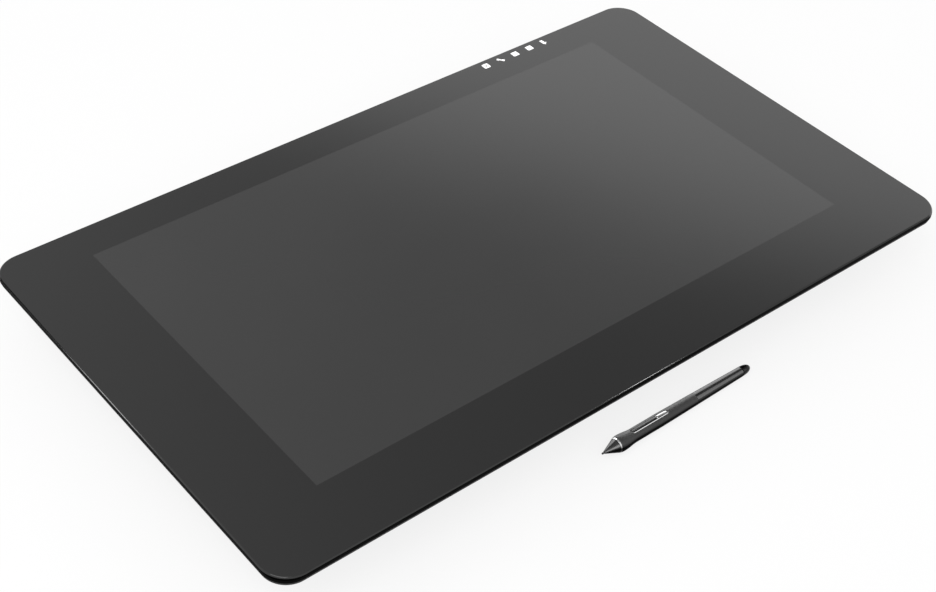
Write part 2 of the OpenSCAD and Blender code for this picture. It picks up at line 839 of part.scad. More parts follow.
module fan_rotor() {
    rotor_z0 = fan_z + fan_skin + fan_air;
    rotor_z1 = z_floor - fan_skin - fan_air;
    disc_t = 0.8;
    blade_t = 0.8;
    blade_a = 25;
    color([0.1, 0.1, 0.1]) at_tablet() translate([fan_x, fan_y, 0]) difference() {
        union() {
            translate([0, 0, rotor_z0]) cylinder(r = fan_hub_r, h = rotor_z1 - rotor_z0);
            translate([0, 0, rotor_z1 - disc_t]) cylinder(r = fan_rotor_r, h = disc_t);
            for (i = [0:fan_blades - 1])
                rotate([0, 0, 360 * i / fan_blades]) translate([fan_hub_r + 1, 0, rotor_z0])
                    rotate([0, 0, blade_a]) cube([fan_rotor_r - fan_hub_r - 3, blade_t, rotor_z1 - rotor_z0]);
        }
        translate([0, 0, rotor_z0 - over])
            cylinder(r = fan_shaft_d / 2 + pin_slack, h = rotor_z1 - rotor_z0 + 2 * over);
    }
}

module fan_screws() {
    color([0.7, 0.7, 0.72]) at_tablet() for (s = [-1, 1])
        translate([fan_x + s * fan_screw_at, fan_y + s * fan_screw_at, fan_z])
            screw(board_screw, fan_h + floor_t / 2 - 0.2);
}

module heat_sink() {
    step = (fan_w - fin_t) / (sink_fins - 1);
    color([0.6, 0.6, 0.62]) at_tablet() translate([fan_x, fan_y + fan_w / 2 + sink_gap, 0]) {
        translate([-fan_w / 2, 0, z_floor - sink_base]) cube([fan_w, sink_l, sink_base]);
        for (i = [0:sink_fins - 1])
            translate([-fan_w / 2 + i * step, 0, fan_z]) cube([fin_t, sink_l, fan_h - sink_base / 2]);
    }
}

// Grilles
module grille(w, d) {
    count = floor((w - 2 * grille_r - slot_w) / slot_pitch) + 1;
    linear_extrude(grille_t) difference() {
        rounded_rect(w, d, grille_r);
        for (i = [0:count - 1])
            translate([(i - (count - 1) / 2) * slot_pitch, 0]) rotate(90)
                stadium(d - 4 * grille_rest, slot_w);
    }
}

// The recess and the hole that take a grille, with its outer face at z = 0 and the hole above it
module grille_seat(w, d) {
    translate([0, 0, -over]) linear_extrude(grille_t + over)
        rounded_rect(w + 2 * grille_gap, d + 2 * grille_gap, grille_r + grille_gap);
    linear_extrude(4 * cover_wall)
        rounded_rect(w - 2 * grille_rest, d - 2 * grille_rest, grille_r - grille_rest);
}

module at_exhaust(side) {
    translate([side * exhaust_x, slope_mid_y, slope_mid_z]) rotate([slope_a_y, 0, 0]) children();
}

module at_intake(side) {
    translate([side * fan_x, fan_y, z_belly]) children();
}

module exhaust_grille(side) {
    color([0.05, 0.05, 0.055]) at_tablet() at_exhaust(side) grille(exhaust_w, exhaust_d);
}

module intake_grille(side) {
    color([0.05, 0.05, 0.055]) at_tablet() at_intake(side) grille(intake_w, intake_d);
}

// Rear cover
module at_leg(side) {
    translate([side * leg_x, leg_y, pin_z]) children();
}

module leg_well(side, grow) {
    w = leg_w + 2 * (leg_gap + grow);
    y0 = -(leg_l + leg_gap + grow);
    y1 = leg_t / 2 + knuckle_gap + grow;
    at_leg(side) {
        translate([-w / 2, y0, z_belly - over - pin_z]) cube([w, y1 - y0, well_z + grow - z_belly + over]);
        translate([-scoop_w / 2 - grow, y0 - scoop_l, z_belly - over - pin_z])
            cube([scoop_w + 2 * grow, scoop_l + over, scoop_h + grow + over]);
    }
}

module bay_space(grow) {
    translate([-bay_w / 2 - grow, bay_y - grow, bay_z0 - grow])
        cube([bay_w + 2 * grow, tablet_d / 2, bay_h + 2 * grow]);
}

module mount_pad_spots() {
    for (a = [0:90:270]) rotate([0, 0, a]) translate([mount_plate_w / 2 - 9, 0, 0]) children();
}

module mount_bush_spots() {
    for (sx = [-1, 1], sy = [-1, 1]) translate([sx * mount_pitch / 2, sy * mount_pitch / 2, 0]) children();
}

module cover_hollow() {
    difference() {
        hull($fn = hull_fn) {
            glass_slab(cover_inset + wall_run, z_rim - cover_lip, z_rim + over);
            belly_slab(inner_belly_inset, z_belly + cover_wall, z_belly + cover_wall + slice);
        }
        for (side = [-1, 1]) leg_well(side, cover_wall);
        bay_space(cover_wall);
    }
}

module rear_cover() {
    seat_w = mount_plate_w + 2 * fit_gap;
    pad_w = seat_w + 2 * cover_wall;
    bush_r = mount_hole_d / 2 + cover_wall;
    root_z = z_belly + cover_wall / 2;
    color([0.07, 0.07, 0.075]) at_tablet() difference() {
        union() {
            difference() {
                hull($fn = hull_fn) {
                    glass_slab(cover_inset, z_rim - cover_lip, z_rim);
                    belly_slab(0, z_belly + edge_h, z_belly + edge_h + slice);
                    belly_slab(edge_w, z_belly, z_belly + slice);
                }
                cover_hollow();
            }
            slab(pad_w, pad_w, mount_plate_r, root_z, z_belly + mount_plate_t + cover_wall);
            mount_pad_spots() translate([0, 0, z_belly + mount_plate_t])
                cylinder(r = sink_boss_r, h = sink_boss_h + cover_wall / 2);
            both_sides() for (p = case_spots)
                translate([p[0], p[1], root_z]) cylinder(d = boss_d, h = boss_top - root_z);
            for (side = [-1, 1], s = [-1, 1])
                at_leg(side) translate([s * hinge_screw_x, hinge_screw_y, well_z - pin_z + cover_wall / 2])
                    cylinder(r = sink_boss_r, h = sink_boss_h);
        }
        for (side = [-1, 1]) leg_well(side, 0);
        bay_space(0);
        for (p = shell_ports) at_port(p, bay_y - 2 * cover_wall, bay_y + over) port_outline(p, port_gap);
        at_port(usb_port, bay_y - 2 * cover_wall, bay_y + over) usb_outline(port_gap);
        for (side = [-1, 1]) {
            at_exhaust(side) grille_seat(exhaust_w, exhaust_d);
            at_intake(side) grille_seat(intake_w, intake_d);
            for (s = [-1, 1])
                at_leg(side) translate([s * hinge_screw_x, hinge_screw_y, well_z - pin_z - over])
                    cylinder(r = sink_screw[0] + thread_gap, h = sink_grip + 2 * over);
        }
        slab(seat_w, seat_w, mount_plate_r + fit_gap, z_belly - over, z_belly + mount_plate_t);
        mount_bush_spots() cylinder(r = bush_r + fit_gap, h = z_belly + mount_plate_t + cover_wall + over);
        mount_pad_spots() translate([0, 0, z_belly])
            cylinder(r = sink_screw[0] + thread_gap, h = mount_plate_t + sink_grip + over);
        both_sides() for (p = case_spots) translate([p[0], p[1], 0]) {
            cylinder(r = case_screw[0] + screw_gap, h = boss_top + over);
            cylinder(r = case_screw[1] + screw_gap, h = case_seat);
        }
        feet_shapes(z_belly - over, z_belly + foot_sink, grille_gap);
    }
}

module case_screws() {
    color([0.3, 0.3, 0.32]) at_tablet() both_sides() for (p = case_spots)
        translate([p[0], p[1], case_seat]) screw(case_screw, case_screw_l);
}

// Mounting plate
module mount_plate() {
    bush_r = mount_hole_d / 2 + cover_wall;
    color([0.45, 0.45, 0.47]) at_tablet() difference() {
        union() {
            slab(mount_plate_w, mount_plate_w, mount_plate_r, z_belly, z_belly + mount_plate_t);
            mount_bush_spots() translate([0, 0, z_belly + mount_plate_t / 2])
                cylinder(r = bush_r, h = mount_plate_t / 2 + bush_h);
        }
        mount_bush_spots() cylinder(d = mount_hole_d, h = z_belly + mount_plate_t + bush_h + over);
        mount_pad_spots() translate([0, 0, z_belly]) sunk_hole(sink_screw, mount_plate_t + over, 0.1);
    }
}

module mount_plate_screws() {
    color([0.3, 0.3, 0.32]) at_tablet() mount_pad_spots()
        translate([0, 0, z_belly]) sunk_screw(sink_screw, mount_plate_t + sink_grip);
}

// Feet
module feet_front(z0, z1, gap) {
    for (s = [-1, 1]) translate([s * front_foot_x, front_foot_y, z0]) linear_extrude(z1 - z0)
        stadium(front_foot_l + 2 * gap, foot_w + 2 * gap);
}

module feet_rear(z0, z1, gap) {
    for (s = [-1, 1]) translate([s * rear_foot_x, rear_foot_y, z0]) linear_extrude(z1 - z0)
        rotate(90) stadium(rear_foot_l + 2 * gap, foot_w + 2 * gap);
}

module feet_shapes(z0, z1, gap) {
    feet_front(z0, z1, gap);
    feet_rear(z0, z1, gap);
}

module front_feet() {
    color([0.03, 0.03, 0.03]) at_tablet() feet_front(0, z_belly + foot_sink, 0);
}

module rear_feet() {
    color([0.03, 0.03, 0.03]) at_tablet() feet_rear(0, z_belly + foot_sink, 0);
}

// Legs and hinges
module hinge_bracket(side) {
    base_y1 = ear_r;
    color([0.4, 0.4, 0.42]) at_tablet() at_leg(side) difference() {
        union() {
            translate([-leg_w / 2, -bracket_front, bracket_z - pin_z])
                cube([leg_w, bracket_front + base_y1, bracket_t]);
            for (s = [-1, 1]) translate([s * (leg_w - ear_t) / 2, 0, 0]) {
                across(ear_t) circle(ear_r);
                translate([-ear_t / 2, -ear_r, 0])
                    cube([ear_t, 2 * ear_r, bracket_z - pin_z + bracket_t / 2]);
            }
        }
        across(leg_w + 2 * over) circle(pin_r + pin_slack);
        for (s = [-1, 1]) translate([s * hinge_screw_x, hinge_screw_y, bracket_z - pin_z])
            sunk_hole(sink_screw, bracket_t + over, 0.1);
    }
}

module hinge_screws() {
    color([0.3, 0.3, 0.32]) at_tablet() for (side = [-1, 1], s = [-1, 1])
        at_leg(side) translate([s * hinge_screw_x, hinge_screw_y, bracket_z - pin_z])
            sunk_screw(sink_screw, bracket_t + sink_grip);
}

module hinge_pin(side) {
    color([0.7, 0.7, 0.72]) at_tablet() at_leg(side) across(leg_w) circle(pin_r);
}

module leg_plan(y0, y1) {
    translate([0, (y0 + y1) / 2, -leg_t]) linear_extrude(2 * leg_t) rounded_rect(leg_w, y1 - y0, leg_corner);
}

module leg(side) {
    plate_y = -(leg_l - pad_l);
    rib = 2.4;
    cell_w = (leg_w - 5 * rib) / 4;
    cell_y1 = -(shoulder + pin_d);
    cell_d = (cell_y1 - plate_y - 3 * rib) / 2;
    cell_z = leg_skin - leg_t / 2;
    color([0.08, 0.08, 0.085]) at_tablet() at_leg(side) difference() {
        union() {
            across(barrel_w) {
                circle(leg_t / 2);
                translate([-shoulder - over, -leg_t / 2]) square([shoulder + over, leg_t]);
            }
            across(leg_w) translate([plate_y, -leg_t / 2]) square([-shoulder - plate_y, leg_t]);
            across(leg_w - 4 * leg_corner) translate([plate_y - tongue_l, -tongue_t / 2])
                square([tongue_l + over, tongue_t]);
        }
        across(leg_w) circle(pin_r + pin_slack);
        for (i = [0:3], j = [0:1])
            translate([i * (cell_w + rib) - leg_w / 2 + rib, plate_y + rib + j * (cell_d + rib), cell_z])
                cube([cell_w, cell_d, leg_t]);
    }
}

module leg_pad(side) {
    plate_y = -(leg_l - pad_l);
    nose_y = -(leg_l - leg_t / 2);
    color([0.03, 0.03, 0.03]) at_tablet() at_leg(side) intersection() {
        difference() {
            across(leg_w) {
                translate([nose_y, 0]) circle(leg_t / 2);
                translate([nose_y, -leg_t / 2]) square([plate_y - nose_y, leg_t]);
            }
            across(leg_w - 4 * leg_corner + 2 * pad_gap)
                translate([plate_y - tongue_l - pad_gap, -tongue_t / 2 - pad_gap])
                    square([tongue_l + pad_gap + over, tongue_t + 2 * pad_gap]);
        }
        leg_plan(-leg_l, 0);
    }
}

// Pen
module switch_plan(inset, z0, z1) {
    translate([rocker_pivot_x, 0, z0]) linear_extrude(z1 - z0)
        stadium(switch_l - 2 * inset, switch_w - 2 * inset);
}

module pen_barrel() {
    stem_x = tail_x - stem_l - 1;
    color([0.1, 0.1, 0.105]) at_pen() difference() {
        turned() polygon(concat(
            [[bore_r, pen_nose_l], [tube_r, pen_nose_l], [tube_r, pen_seam]],
            pen_skin(pen_seam, tail_x, 12),
            [[stem_r + pen_slack, tail_x], [stem_r + pen_slack, stem_x], [bore_r, stem_x]]
        ));
        switch_plan(-pad_gap, slot_z, 2 * body_r);
    }
}

module pen_grip() {
    color([0.06, 0.06, 0.065]) at_pen() difference() {
        turned() polygon(concat(
            [[tube_r + pad_gap, grip_x]],
            pen_skin(grip_x, flare_end, 14),
            pen_skin(taper_x, pen_seam, 8),
            [[tube_r + pad_gap, pen_seam]]
        ));
        switch_plan(-pad_gap, slot_z, 2 * body_r);
    }
}

module pen_nose() {
    tip_r = nib_r + 0.3;
    cavity_r = 2.6;
    color([0.25, 0.25, 0.26]) at_pen() turned() polygon([
        [nib_r + pen_slack, nib_out], [tip_r, nib_out], [cone_r, pen_nose_l], [bore_r - pad_gap, pen_nose_l],
        [bore_r - pad_gap, pen_nose_l + nose_spigot_l - over], [cavity_r, pen_nose_l + nose_spigot_l - over],
        [cavity_r, ferrite_x], [nib_r + pen_slack, ferrite_x]
    ]);
}

module pen_ring() {
    color([0.75, 0.75, 0.77]) at_pen() turned() polygon([
        [tube_r + pad_gap, pen_nose_l], [cone_r, pen_nose_l], [shoulder_r, grip_x], [tube_r + pad_gap, grip_x]
    ]);
}

module pen_nib() {
    color([0.04, 0.04, 0.04]) at_pen() turned() polygon(concat(
        [[0, nib_l]], [[nib_r, nib_l]],
        [for (a = [0:15:90]) [nib_r * cos(a), nib_r * (1 - sin(a))]]
    ));
}

module pen_coil() {
    outer = 2.5;
    inner = 1.3;
    color([0.6, 0.35, 0.15]) at_pen() turned()
        translate([inner, ferrite_x]) square([outer - inner, pen_nose_l + nose_spigot_l - 2 - ferrite_x]);
}

module pen_pressure_sensor() {
    color([0.6, 0.6, 0.6]) at_pen() turned()
        translate([0, gauge_x]) square([bore_r - pad_gap, gauge_l]);
}

module pen_board() {
    board_x0 = gauge_x + gauge_l;
    w = 5.6;
    t = 1;
    z = -1.6;
    key_w = 3;
    color([0.07, 0.25, 0.15]) at_pen() {
        translate([board_x0, -w / 2, z]) cube([pen_seam + 20 - board_x0, w, t]);
        for (s = [-1, 1])
            translate([rocker_pivot_x + s * rocker_l / 3 - key_w / 2, -key_w / 2, z + t / 2])
                cube([key_w, key_w, slot_z - 0.7 - z - t / 2]);
    }
}

module pen_switch_trim() {
    color([0.75, 0.75, 0.77]) at_pen() difference() {
        intersection() {
            switch_plan(0, slot_z, 2 * body_r);
            rotate([0, 90, 0]) cylinder(r = trim_r, h = pen_l);
        }
        switch_plan(trim_wall, slot_z - over, 2 * body_r);
        translate([rocker_pivot_x, 0, pivot_z]) rotate([90, 0, 0])
            cylinder(r = pivot_r + pen_slack, h = 2 * switch_w, center = true);
    }
}

module pen_switch() {
    half = rocker_l / 2;
    top = body_r + 0.25;
    end_drop = 0.45;
    split_x = rocker_l * 0.2;
    color([0.08, 0.08, 0.085]) at_pen() {
        intersection() {
            switch_plan(trim_wall + switch_gap, rocker_z, 2 * body_r);
            translate([rocker_pivot_x, 0, 0]) along_y(-switch_w, switch_w) polygon([
                [-half, rocker_z], [half, rocker_z], [half, top - end_drop], [half - 4, top],
                [split_x + 1, top], [split_x, top - 0.5], [split_x - 1, top], [-half + 5, top - 0.1],
                [-half, top - end_drop]
            ]);
        }
        translate([rocker_pivot_x, 0, pivot_z]) rotate([90, 0, 0])
            cylinder(r = pivot_r, h = switch_w - trim_wall, center = true);
    }
}

module pen_eraser() {
    gap = eraser_travel + 0.1;
    cap_l = pen_l - tail_x - gap;
    color([0.05, 0.05, 0.05]) at_pen() turned() polygon(concat(
        [[0, tail_x - stem_l + gap], [stem_r, tail_x - stem_l + gap], [stem_r, tail_x + gap]],
        [for (a = [0:15:90]) [(tail_r - 0.1) * cos(a), tail_x + gap + cap_l * sin(a)]]
    ));
}

cover_glass();
glass_adhesive();
lcd_panel();
diffuser_films();
light_guide();
led_strip();
backlight_tray();
pen_sensor();
sensor_shield();
mid_frame();
touch_key_board();
power_button();
main_board();
sensor_board();
board_screws();
power_socket();
hdmi_socket();
displayport_socket();
usb_c_socket();
fan_housing();
fan_rotor();
fan_screws();
heat_sink();
rear_cover();
case_screws();
exhaust_grille(-1);  // left_exhaust_grille
exhaust_grille(1);  // right_exhaust_grille
intake_grille(-1);  // left_intake_grille
intake_grille(1);  // right_intake_grille
mount_plate();
mount_plate_screws();
front_feet();
rear_feet();
hinge_bracket(-1);  // left_hinge_bracket
hinge_bracket(1);  // right_hinge_bracket
hinge_screws();
hinge_pin(-1);  // left_hinge_pin
hinge_pin(1);  // right_hinge_pin
leg(-1);  // left_leg
leg(1);  // right_leg
leg_pad(-1);  // left_leg_pad
leg_pad(1);  // right_leg_pad
pen_barrel();
pen_grip();
pen_nose();
pen_ring();
pen_nib();
pen_coil();
pen_pressure_sensor();
pen_board();
pen_switch_trim();
pen_switch();
pen_eraser();
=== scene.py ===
# Looks of a graphics tablet with a screen and its pen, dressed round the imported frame.
import json
import math

import bmesh
import bpy
from mathutils import Matrix, Vector

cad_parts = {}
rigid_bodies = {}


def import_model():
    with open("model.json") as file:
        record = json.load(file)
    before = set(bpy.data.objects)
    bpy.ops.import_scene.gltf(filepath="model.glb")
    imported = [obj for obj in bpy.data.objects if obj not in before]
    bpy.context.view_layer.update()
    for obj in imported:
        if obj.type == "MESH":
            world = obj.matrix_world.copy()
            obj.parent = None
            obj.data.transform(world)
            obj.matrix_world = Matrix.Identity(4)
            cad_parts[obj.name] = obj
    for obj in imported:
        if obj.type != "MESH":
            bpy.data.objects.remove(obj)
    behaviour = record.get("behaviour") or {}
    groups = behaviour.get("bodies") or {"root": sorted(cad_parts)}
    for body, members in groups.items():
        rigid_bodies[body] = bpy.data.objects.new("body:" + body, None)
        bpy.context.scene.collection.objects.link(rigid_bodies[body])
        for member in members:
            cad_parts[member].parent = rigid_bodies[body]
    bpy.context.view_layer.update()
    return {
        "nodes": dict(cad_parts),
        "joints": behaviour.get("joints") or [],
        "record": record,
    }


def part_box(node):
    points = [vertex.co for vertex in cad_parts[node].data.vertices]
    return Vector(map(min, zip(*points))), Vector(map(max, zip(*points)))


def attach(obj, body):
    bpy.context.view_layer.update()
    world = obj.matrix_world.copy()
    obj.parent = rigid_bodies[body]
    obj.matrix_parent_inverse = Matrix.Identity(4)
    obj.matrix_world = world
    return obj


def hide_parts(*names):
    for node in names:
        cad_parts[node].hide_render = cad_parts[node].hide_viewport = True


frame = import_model()
nodes = frame["nodes"]
joints = {joint["name"]: joint for joint in frame["joints"]}

MM = 0.001

# A length that counts as nothing, in millimetres
TINY = 0.001

# Edges that bend by more than this many degrees stay sharp
SHARP_ANGLE = 32.0
GLASS_SHARP = 20.0

# Camera: place in metres, turn in degrees, lens and sensor in millimetres
CAMERA_PLACE = (-0.72394, -0.77060, 0.91802)
CAMERA_TURN = (48.522, -2.606, -38.701)
CAMERA_LENS = 65.37
CAMERA_SENSOR = 36.0
CAMERA_SHIFT_X = 0.0319

# Noise: its detail, and the parts of its range that shades and roughness run over
NOISE_DETAIL = 3.0
SHADE_RANGE = (0.35, 0.65)
ROUGH_RANGE = (0.3, 0.7)
GRAIN_STRENGTH = 0.5

# Painted shade on pen finishes: they dim from the second of these upward slopes to the first, down to
# a share of their light
PAINTED_SHADE_SLOPES = (0.25, 0.6)
PAINTED_SHADE_SHARE = 0.02

# Glass face, in millimetres
GLASS_CORNER = 22.5
GLASS_BEVEL = 1.0
GLASS_FOOT = 0.25
GLASS_EASE = 0.08
GLASS_MARGIN = 1.6
SIDE_BORDER = 72.0
FRONT_BORDER = 58.2
BACK_BORDER = 35.2
CORNER_STEPS = 24

# Touch keys, in millimetres and degrees
KEY_PITCH = 17.5
KEY_RIGHT = 145.0
KEY_BACK = 9.0
KEY_PRINT = 0.04
KEY_W = 6.6
KEY_D = 6.2
KEY_FRAME_ROUND = 1.0
KEY_PLAIN_ROUND = 0.7
KEY_SPOT_R = 1.1
KEY_BAR_TURN = -46.0

# Pen stations from its tip and radii, in millimetres
PEN_STEPS = 80
FILLET_STEPS = 5
NIB_R = 0.8
NIB_GAP = 0.06
NOSE_X0 = 2.6
NOSE_X1 = 14.2
NOSE_TIP_R = 1.1
NOSE_END_R = 5.7
NOSE_FILLET = 0.15
RING_GAP = 0.1
RING_STEP = 0.1
RING_FILLET = 0.1
GRIP_X0 = 15.6
GRIP_X1 = 98.0
GRIP_LIP = 0.25
GRIP_STATIONS = 60
SHOULDER_R = 6.25
GRIP_R = 6.7
BODY_R = 5.6
TAIL_R = 4.15
PEAK_X = 19.2
FLARE_END = 33.0
TAPER_X = 60.0
TAIL_X = 150.0
TAPER_POWER = 1.1
TUBE_R = 4.35
ERASER_X0 = 150.8
ERASER_X1 = 160.5
ERASER_R = 4.05
ERASER_EDGE = 0.1
ERASER_POWER = 0.9
ERASER_STEPS = 16

# Side switch of the pen, in millimetres
SWITCH_MID = 48.75
SWITCH_L = 38.5
SWITCH_W = 4.6
SWITCH_Z = 2.9
SWITCH_GAP = 0.34
SLOT_PLAY = 0.1
SLOT_STEPS = 16
TRIM_WALL = 0.6
TRIM_PROUD = 0.12
TRIM_EDGE = 0.12
ROCKER_SPLIT = 56.1
ROCKER_TOP = 5.85
ROCKER_CROWN = 0.35
ROCKER_SAG = 0.45
ROCKER_LIFT = 0.35
ROCKER_END_GAP = 0.02
ROCKER_END_W = 0.1
ROCKER_STATIONS = 160
ROCKER_STRIPS = 8
# Strips along one side of the rocker's front half that carry painted shade
ROCKER_PAINTED_SHADE_STRIPS = 4
NOTCH_DEPTH = 0.5
NOTCH_W = 0.45
RIDGE_DEPTH = 0.04
RIDGE_PITCH = 1.8
RIDGE_CLEAR = 2.5
RIDGE_REACH = 0.9

# Screws, as shares of the radius of the head, of its height or of its rim
CROSS_ARM = 0.14
CROSS_REACH = 0.6
CROSS_FLOOR = 0.6
CROSS_DEPTH = 0.7
CROSS_STEPS = 8
SUNK_SHANK = 0.46
SUNK_HEAD = 0.54
PAN_SHANK = 0.52
PAN_HEAD = 0.74
HEAD_RIM = 0.1
RIM_EASE = 0.3
RIM_STEP = 0.1

# Feet: rounding of the sole in millimetres, and the point halfway round it as shares of that
FOOT_SOLE = 1.2
SOLE_IN = 0.35
SOLE_UP = 0.25
FOOT_STEPS = 16

# Floor: half its width in metres, cells each way, and the share of white where it is looked at
FLOOR_HALF = 40.0
FLOOR_CELLS = 8
FLOOR_PATCH = 3.0
FLOOR_WHITE = 0.82

# Sky: an even white with a brighter arch low behind the tablet, by direction and cosines of its edge
SKY_LEVEL = 1.09
ARCH_LEVEL = 2.9
ARCH_CENTRE = (0.744, 0.476, -0.469)
ARCH_EDGE = (0.36, 0.455)

# Darker spots of the sky to the right, overhead and at the back left: direction, edge, share of light
DARK_SPOTS = (
    ((0.9865, 0.115, 0.116), (0.30, 0.726), 0.565),
    ((0.25, -0.05, 0.967), (0.83, 0.92), 0.4),
    ((-0.56, 0.78, 0.25), (0.974, 0.981), 0.05),
)

# Points that the lamps face, in metres
TABLET_MIDDLE = (0.0, 0.0, 0.03)
LEFT_EDGE = (-0.338, 0.034, 0.0465)
FRONT_EDGE = (-0.012, -0.1875, 0.0465)
PEN_MIDDLE = (0.02, -0.199, 0.01)
PEN_TIP = (-0.05, -0.2, 0.01)

# Lamps: the point that each faces, the direction in which the point sees it, distance, size, watts
LAMPS = {
    "key_softbox": (TABLET_MIDDLE, (-0.55, -0.25, 0.80), 2.0, (1.2, 1.2), 9.0),
    "left_lamp": (LEFT_EDGE, (-0.6985, 0.645, 0.3093), 1.6, (0.16, 0.3), 1.2),
    "front_strip": (FRONT_EDGE, (0.5615, -0.688, 0.460), 1.6, (0.08, 0.14), 0.95),
    "pen_back_light": (PEN_MIDDLE, (0.491, 0.786, 0.375), 1.6, (2.2, 1.25), 29.4),
    "pen_front_light": (PEN_MIDDLE, (0.605, -0.594, 0.53), 1.6, (1.0, 1.3), 9.5),
    "nose_back_light": (PEN_TIP, (0.0, 0.75, 0.66), 1.6, (0.8, 0.6), 5.1),
    "nose_front_light": (PEN_TIP, (-0.12, -0.86, 0.47), 1.6, (0.7, 1.0), 12.0),
}


# Node trees

def add_node(tree, kind, inputs=None, **settings):
    node = tree.nodes.new(kind)
    for name, value in settings.items():
        setattr(node, name, value)
    for name, value in (inputs or {}).items():
        node.inputs[name].default_value = value
    return node


def new_material(name, **sockets):
    material = bpy.data.materials.new(name)
    material.use_nodes = True
    tree = material.node_tree
    shader = tree.nodes["Principled BSDF"]
    for socket, value in sockets.items():
        shader.inputs[socket.replace("_", " ")].default_value = value
    return material, tree, shader


def object_place(tree, stretch=(1.0, 1.0, 1.0)):
    place = add_node(tree, "ShaderNodeTexCoord")
    scaled = add_node(tree, "ShaderNodeMapping", {"Scale": stretch})
    tree.links.new(place.outputs["Object"], scaled.inputs["Vector"])
    return scaled.outputs["Vector"]


def noise(tree, place, scale):
    texture = add_node(tree, "ShaderNodeTexNoise", {"Scale": scale, "Detail": NOISE_DETAIL})
    tree.links.new(place, texture.inputs["Vector"])
    return texture.outputs["Fac"]


def grey(level, tint=(1.0, 1.0, 1.0)):
    return (level * tint[0], level * tint[1], level * tint[2], 1.0)


def shade_between(tree, factor, dark, light):
    ramp = add_node(tree, "ShaderNodeValToRGB")
    ramp.color_ramp.elements[0].position = SHADE_RANGE[0]
    ramp.color_ramp.elements[0].color = dark
    ramp.color_ramp.elements[1].position = SHADE_RANGE[1]
    ramp.color_ramp.elements[1].color = light
    tree.links.new(factor, ramp.inputs["Fac"])
    return ramp.outputs["Color"]


def spread(tree, factor, low, high):
    mapped = add_node(tree, "ShaderNodeMapRange", {
        "From Min": ROUGH_RANGE[0],
        "From Max": ROUGH_RANGE[1],
        "To Min": low,
        "To Max": high,
    })
    tree.links.new(factor, mapped.inputs["Value"])
    return mapped.outputs["Result"]


def grain_bump(tree, shader, height, strength, depth):
    bump = add_node(tree, "ShaderNodeBump", {"Strength": strength, "Distance": depth})
    tree.links.new(height, bump.inputs["Height"])
    tree.links.new(bump.outputs["Normal"], shader.inputs["Normal"])


def mix_shaders(tree, factor, first, second):
    mixed = add_node(tree, "ShaderNodeMixShader")
    tree.links.new(factor, mixed.inputs[0])
    tree.links.new(first, mixed.inputs[1])
    tree.links.new(second, mixed.inputs[2])
    return mixed.outputs[0]


def surface(name, dark, light, rough, patch=25.0, grain=0.0, depth=0.0,
            stretch=(1.0, 1.0, 1.0), **sockets):
    """A surface with slow patches of shade, a roughness that follows them, and a fine grain."""
    material, tree, shader = new_material(name, **sockets)
    place = object_place(tree, stretch)
    patches = noise(tree, place, patch)
    tree.links.new(shade_between(tree, patches, dark, light), shader.inputs["Base Color"])
    tree.links.new(spread(tree, patches, rough[0], rough[1]), shader.inputs["Roughness"])
    if grain:
        grain_bump(tree, shader, noise(tree, place, grain), GRAIN_STRENGTH, depth)
    return material


def paint_underside_shade(material):
    """Paints shade: takes colour and gloss off what faces sideways or down."""
    tree = material.node_tree
    shader = tree.nodes["Principled BSDF"]
    colour = shader.inputs["Base Color"]
    level = shader.inputs["Specular IOR Level"]
    facing = add_node(tree, "ShaderNodeNewGeometry")
    parts = add_node(tree, "ShaderNodeSeparateXYZ")
    tree.links.new(facing.outputs["Normal"], parts.inputs[0])
    share = add_node(tree, "ShaderNodeMapRange", {
        "From Min": PAINTED_SHADE_SLOPES[0],
        "From Max": PAINTED_SHADE_SLOPES[1],
        "To Min": PAINTED_SHADE_SHARE,
    })
    tree.links.new(parts.outputs["Z"], share.inputs["Value"])
    scaled = add_node(tree, "ShaderNodeVectorMath", operation="SCALE")
    tree.links.new(colour.links[0].from_socket, scaled.inputs[0])
    tree.links.new(share.outputs["Result"], scaled.inputs["Scale"])
    tree.links.new(scaled.outputs["Vector"], colour)
    gloss = add_node(tree, "ShaderNodeMath", {1: level.default_value}, operation="MULTIPLY")
    tree.links.new(share.outputs["Result"], gloss.inputs[0])
    tree.links.new(gloss.outputs[0], level)


# Finishes

def circuit_finish():
    """Green solder mask with fine tracks."""
    material, tree, shader = new_material("solder_mask", Roughness=0.35)
    place = object_place(tree)
    tracks = add_node(tree, "ShaderNodeTexBrick", {"Scale": 90.0, "Mortar Size": 0.03})
    tracks.inputs["Color1"].default_value = (0.012, 0.075, 0.035, 1.0)
    tracks.inputs["Color2"].default_value = (0.016, 0.095, 0.045, 1.0)
    tracks.inputs["Mortar"].default_value = (0.05, 0.16, 0.08, 1.0)
    tree.links.new(place, tracks.inputs["Vector"])
    tree.links.new(tracks.outputs["Color"], shader.inputs["Base Color"])
    grain_bump(tree, shader, tracks.outputs["Fac"], strength=0.3, depth=0.00005)
    return material


def key_light_finish():
    """White lit print of the touch keys."""
    material, tree, shader = new_material("key_light", Roughness=0.5, Emission_Strength=0.55)
    place = object_place(tree)
    tone = shade_between(tree, noise(tree, place, 900.0), grey(0.82), grey(0.92))
    tree.links.new(tone, shader.inputs["Base Color"])
    tree.links.new(tone, shader.inputs["Emission Color"])
    return material


def glass_finishes():
    return {
        "cover_glass": surface("bezel_glass", grey(0.0006), grey(0.0010), (0.09, 0.11),
                               patch=6.0, grain=5000.0, depth=0.000001),
        "picture_glass": surface("picture_glass", grey(0.019), grey(0.021), (0.10, 0.12),
                                 patch=6.0, grain=5000.0, depth=0.000001),
        "glass_bevel": surface("glass_bevel", grey(0.006), grey(0.008), (0.07, 0.10)),
        "glass_edge": surface("glass_edge", grey(0.0012), grey(0.0018), (0.4, 0.5),
                              Specular_IOR_Level=0.01),
        "key_light": key_light_finish(),
    }


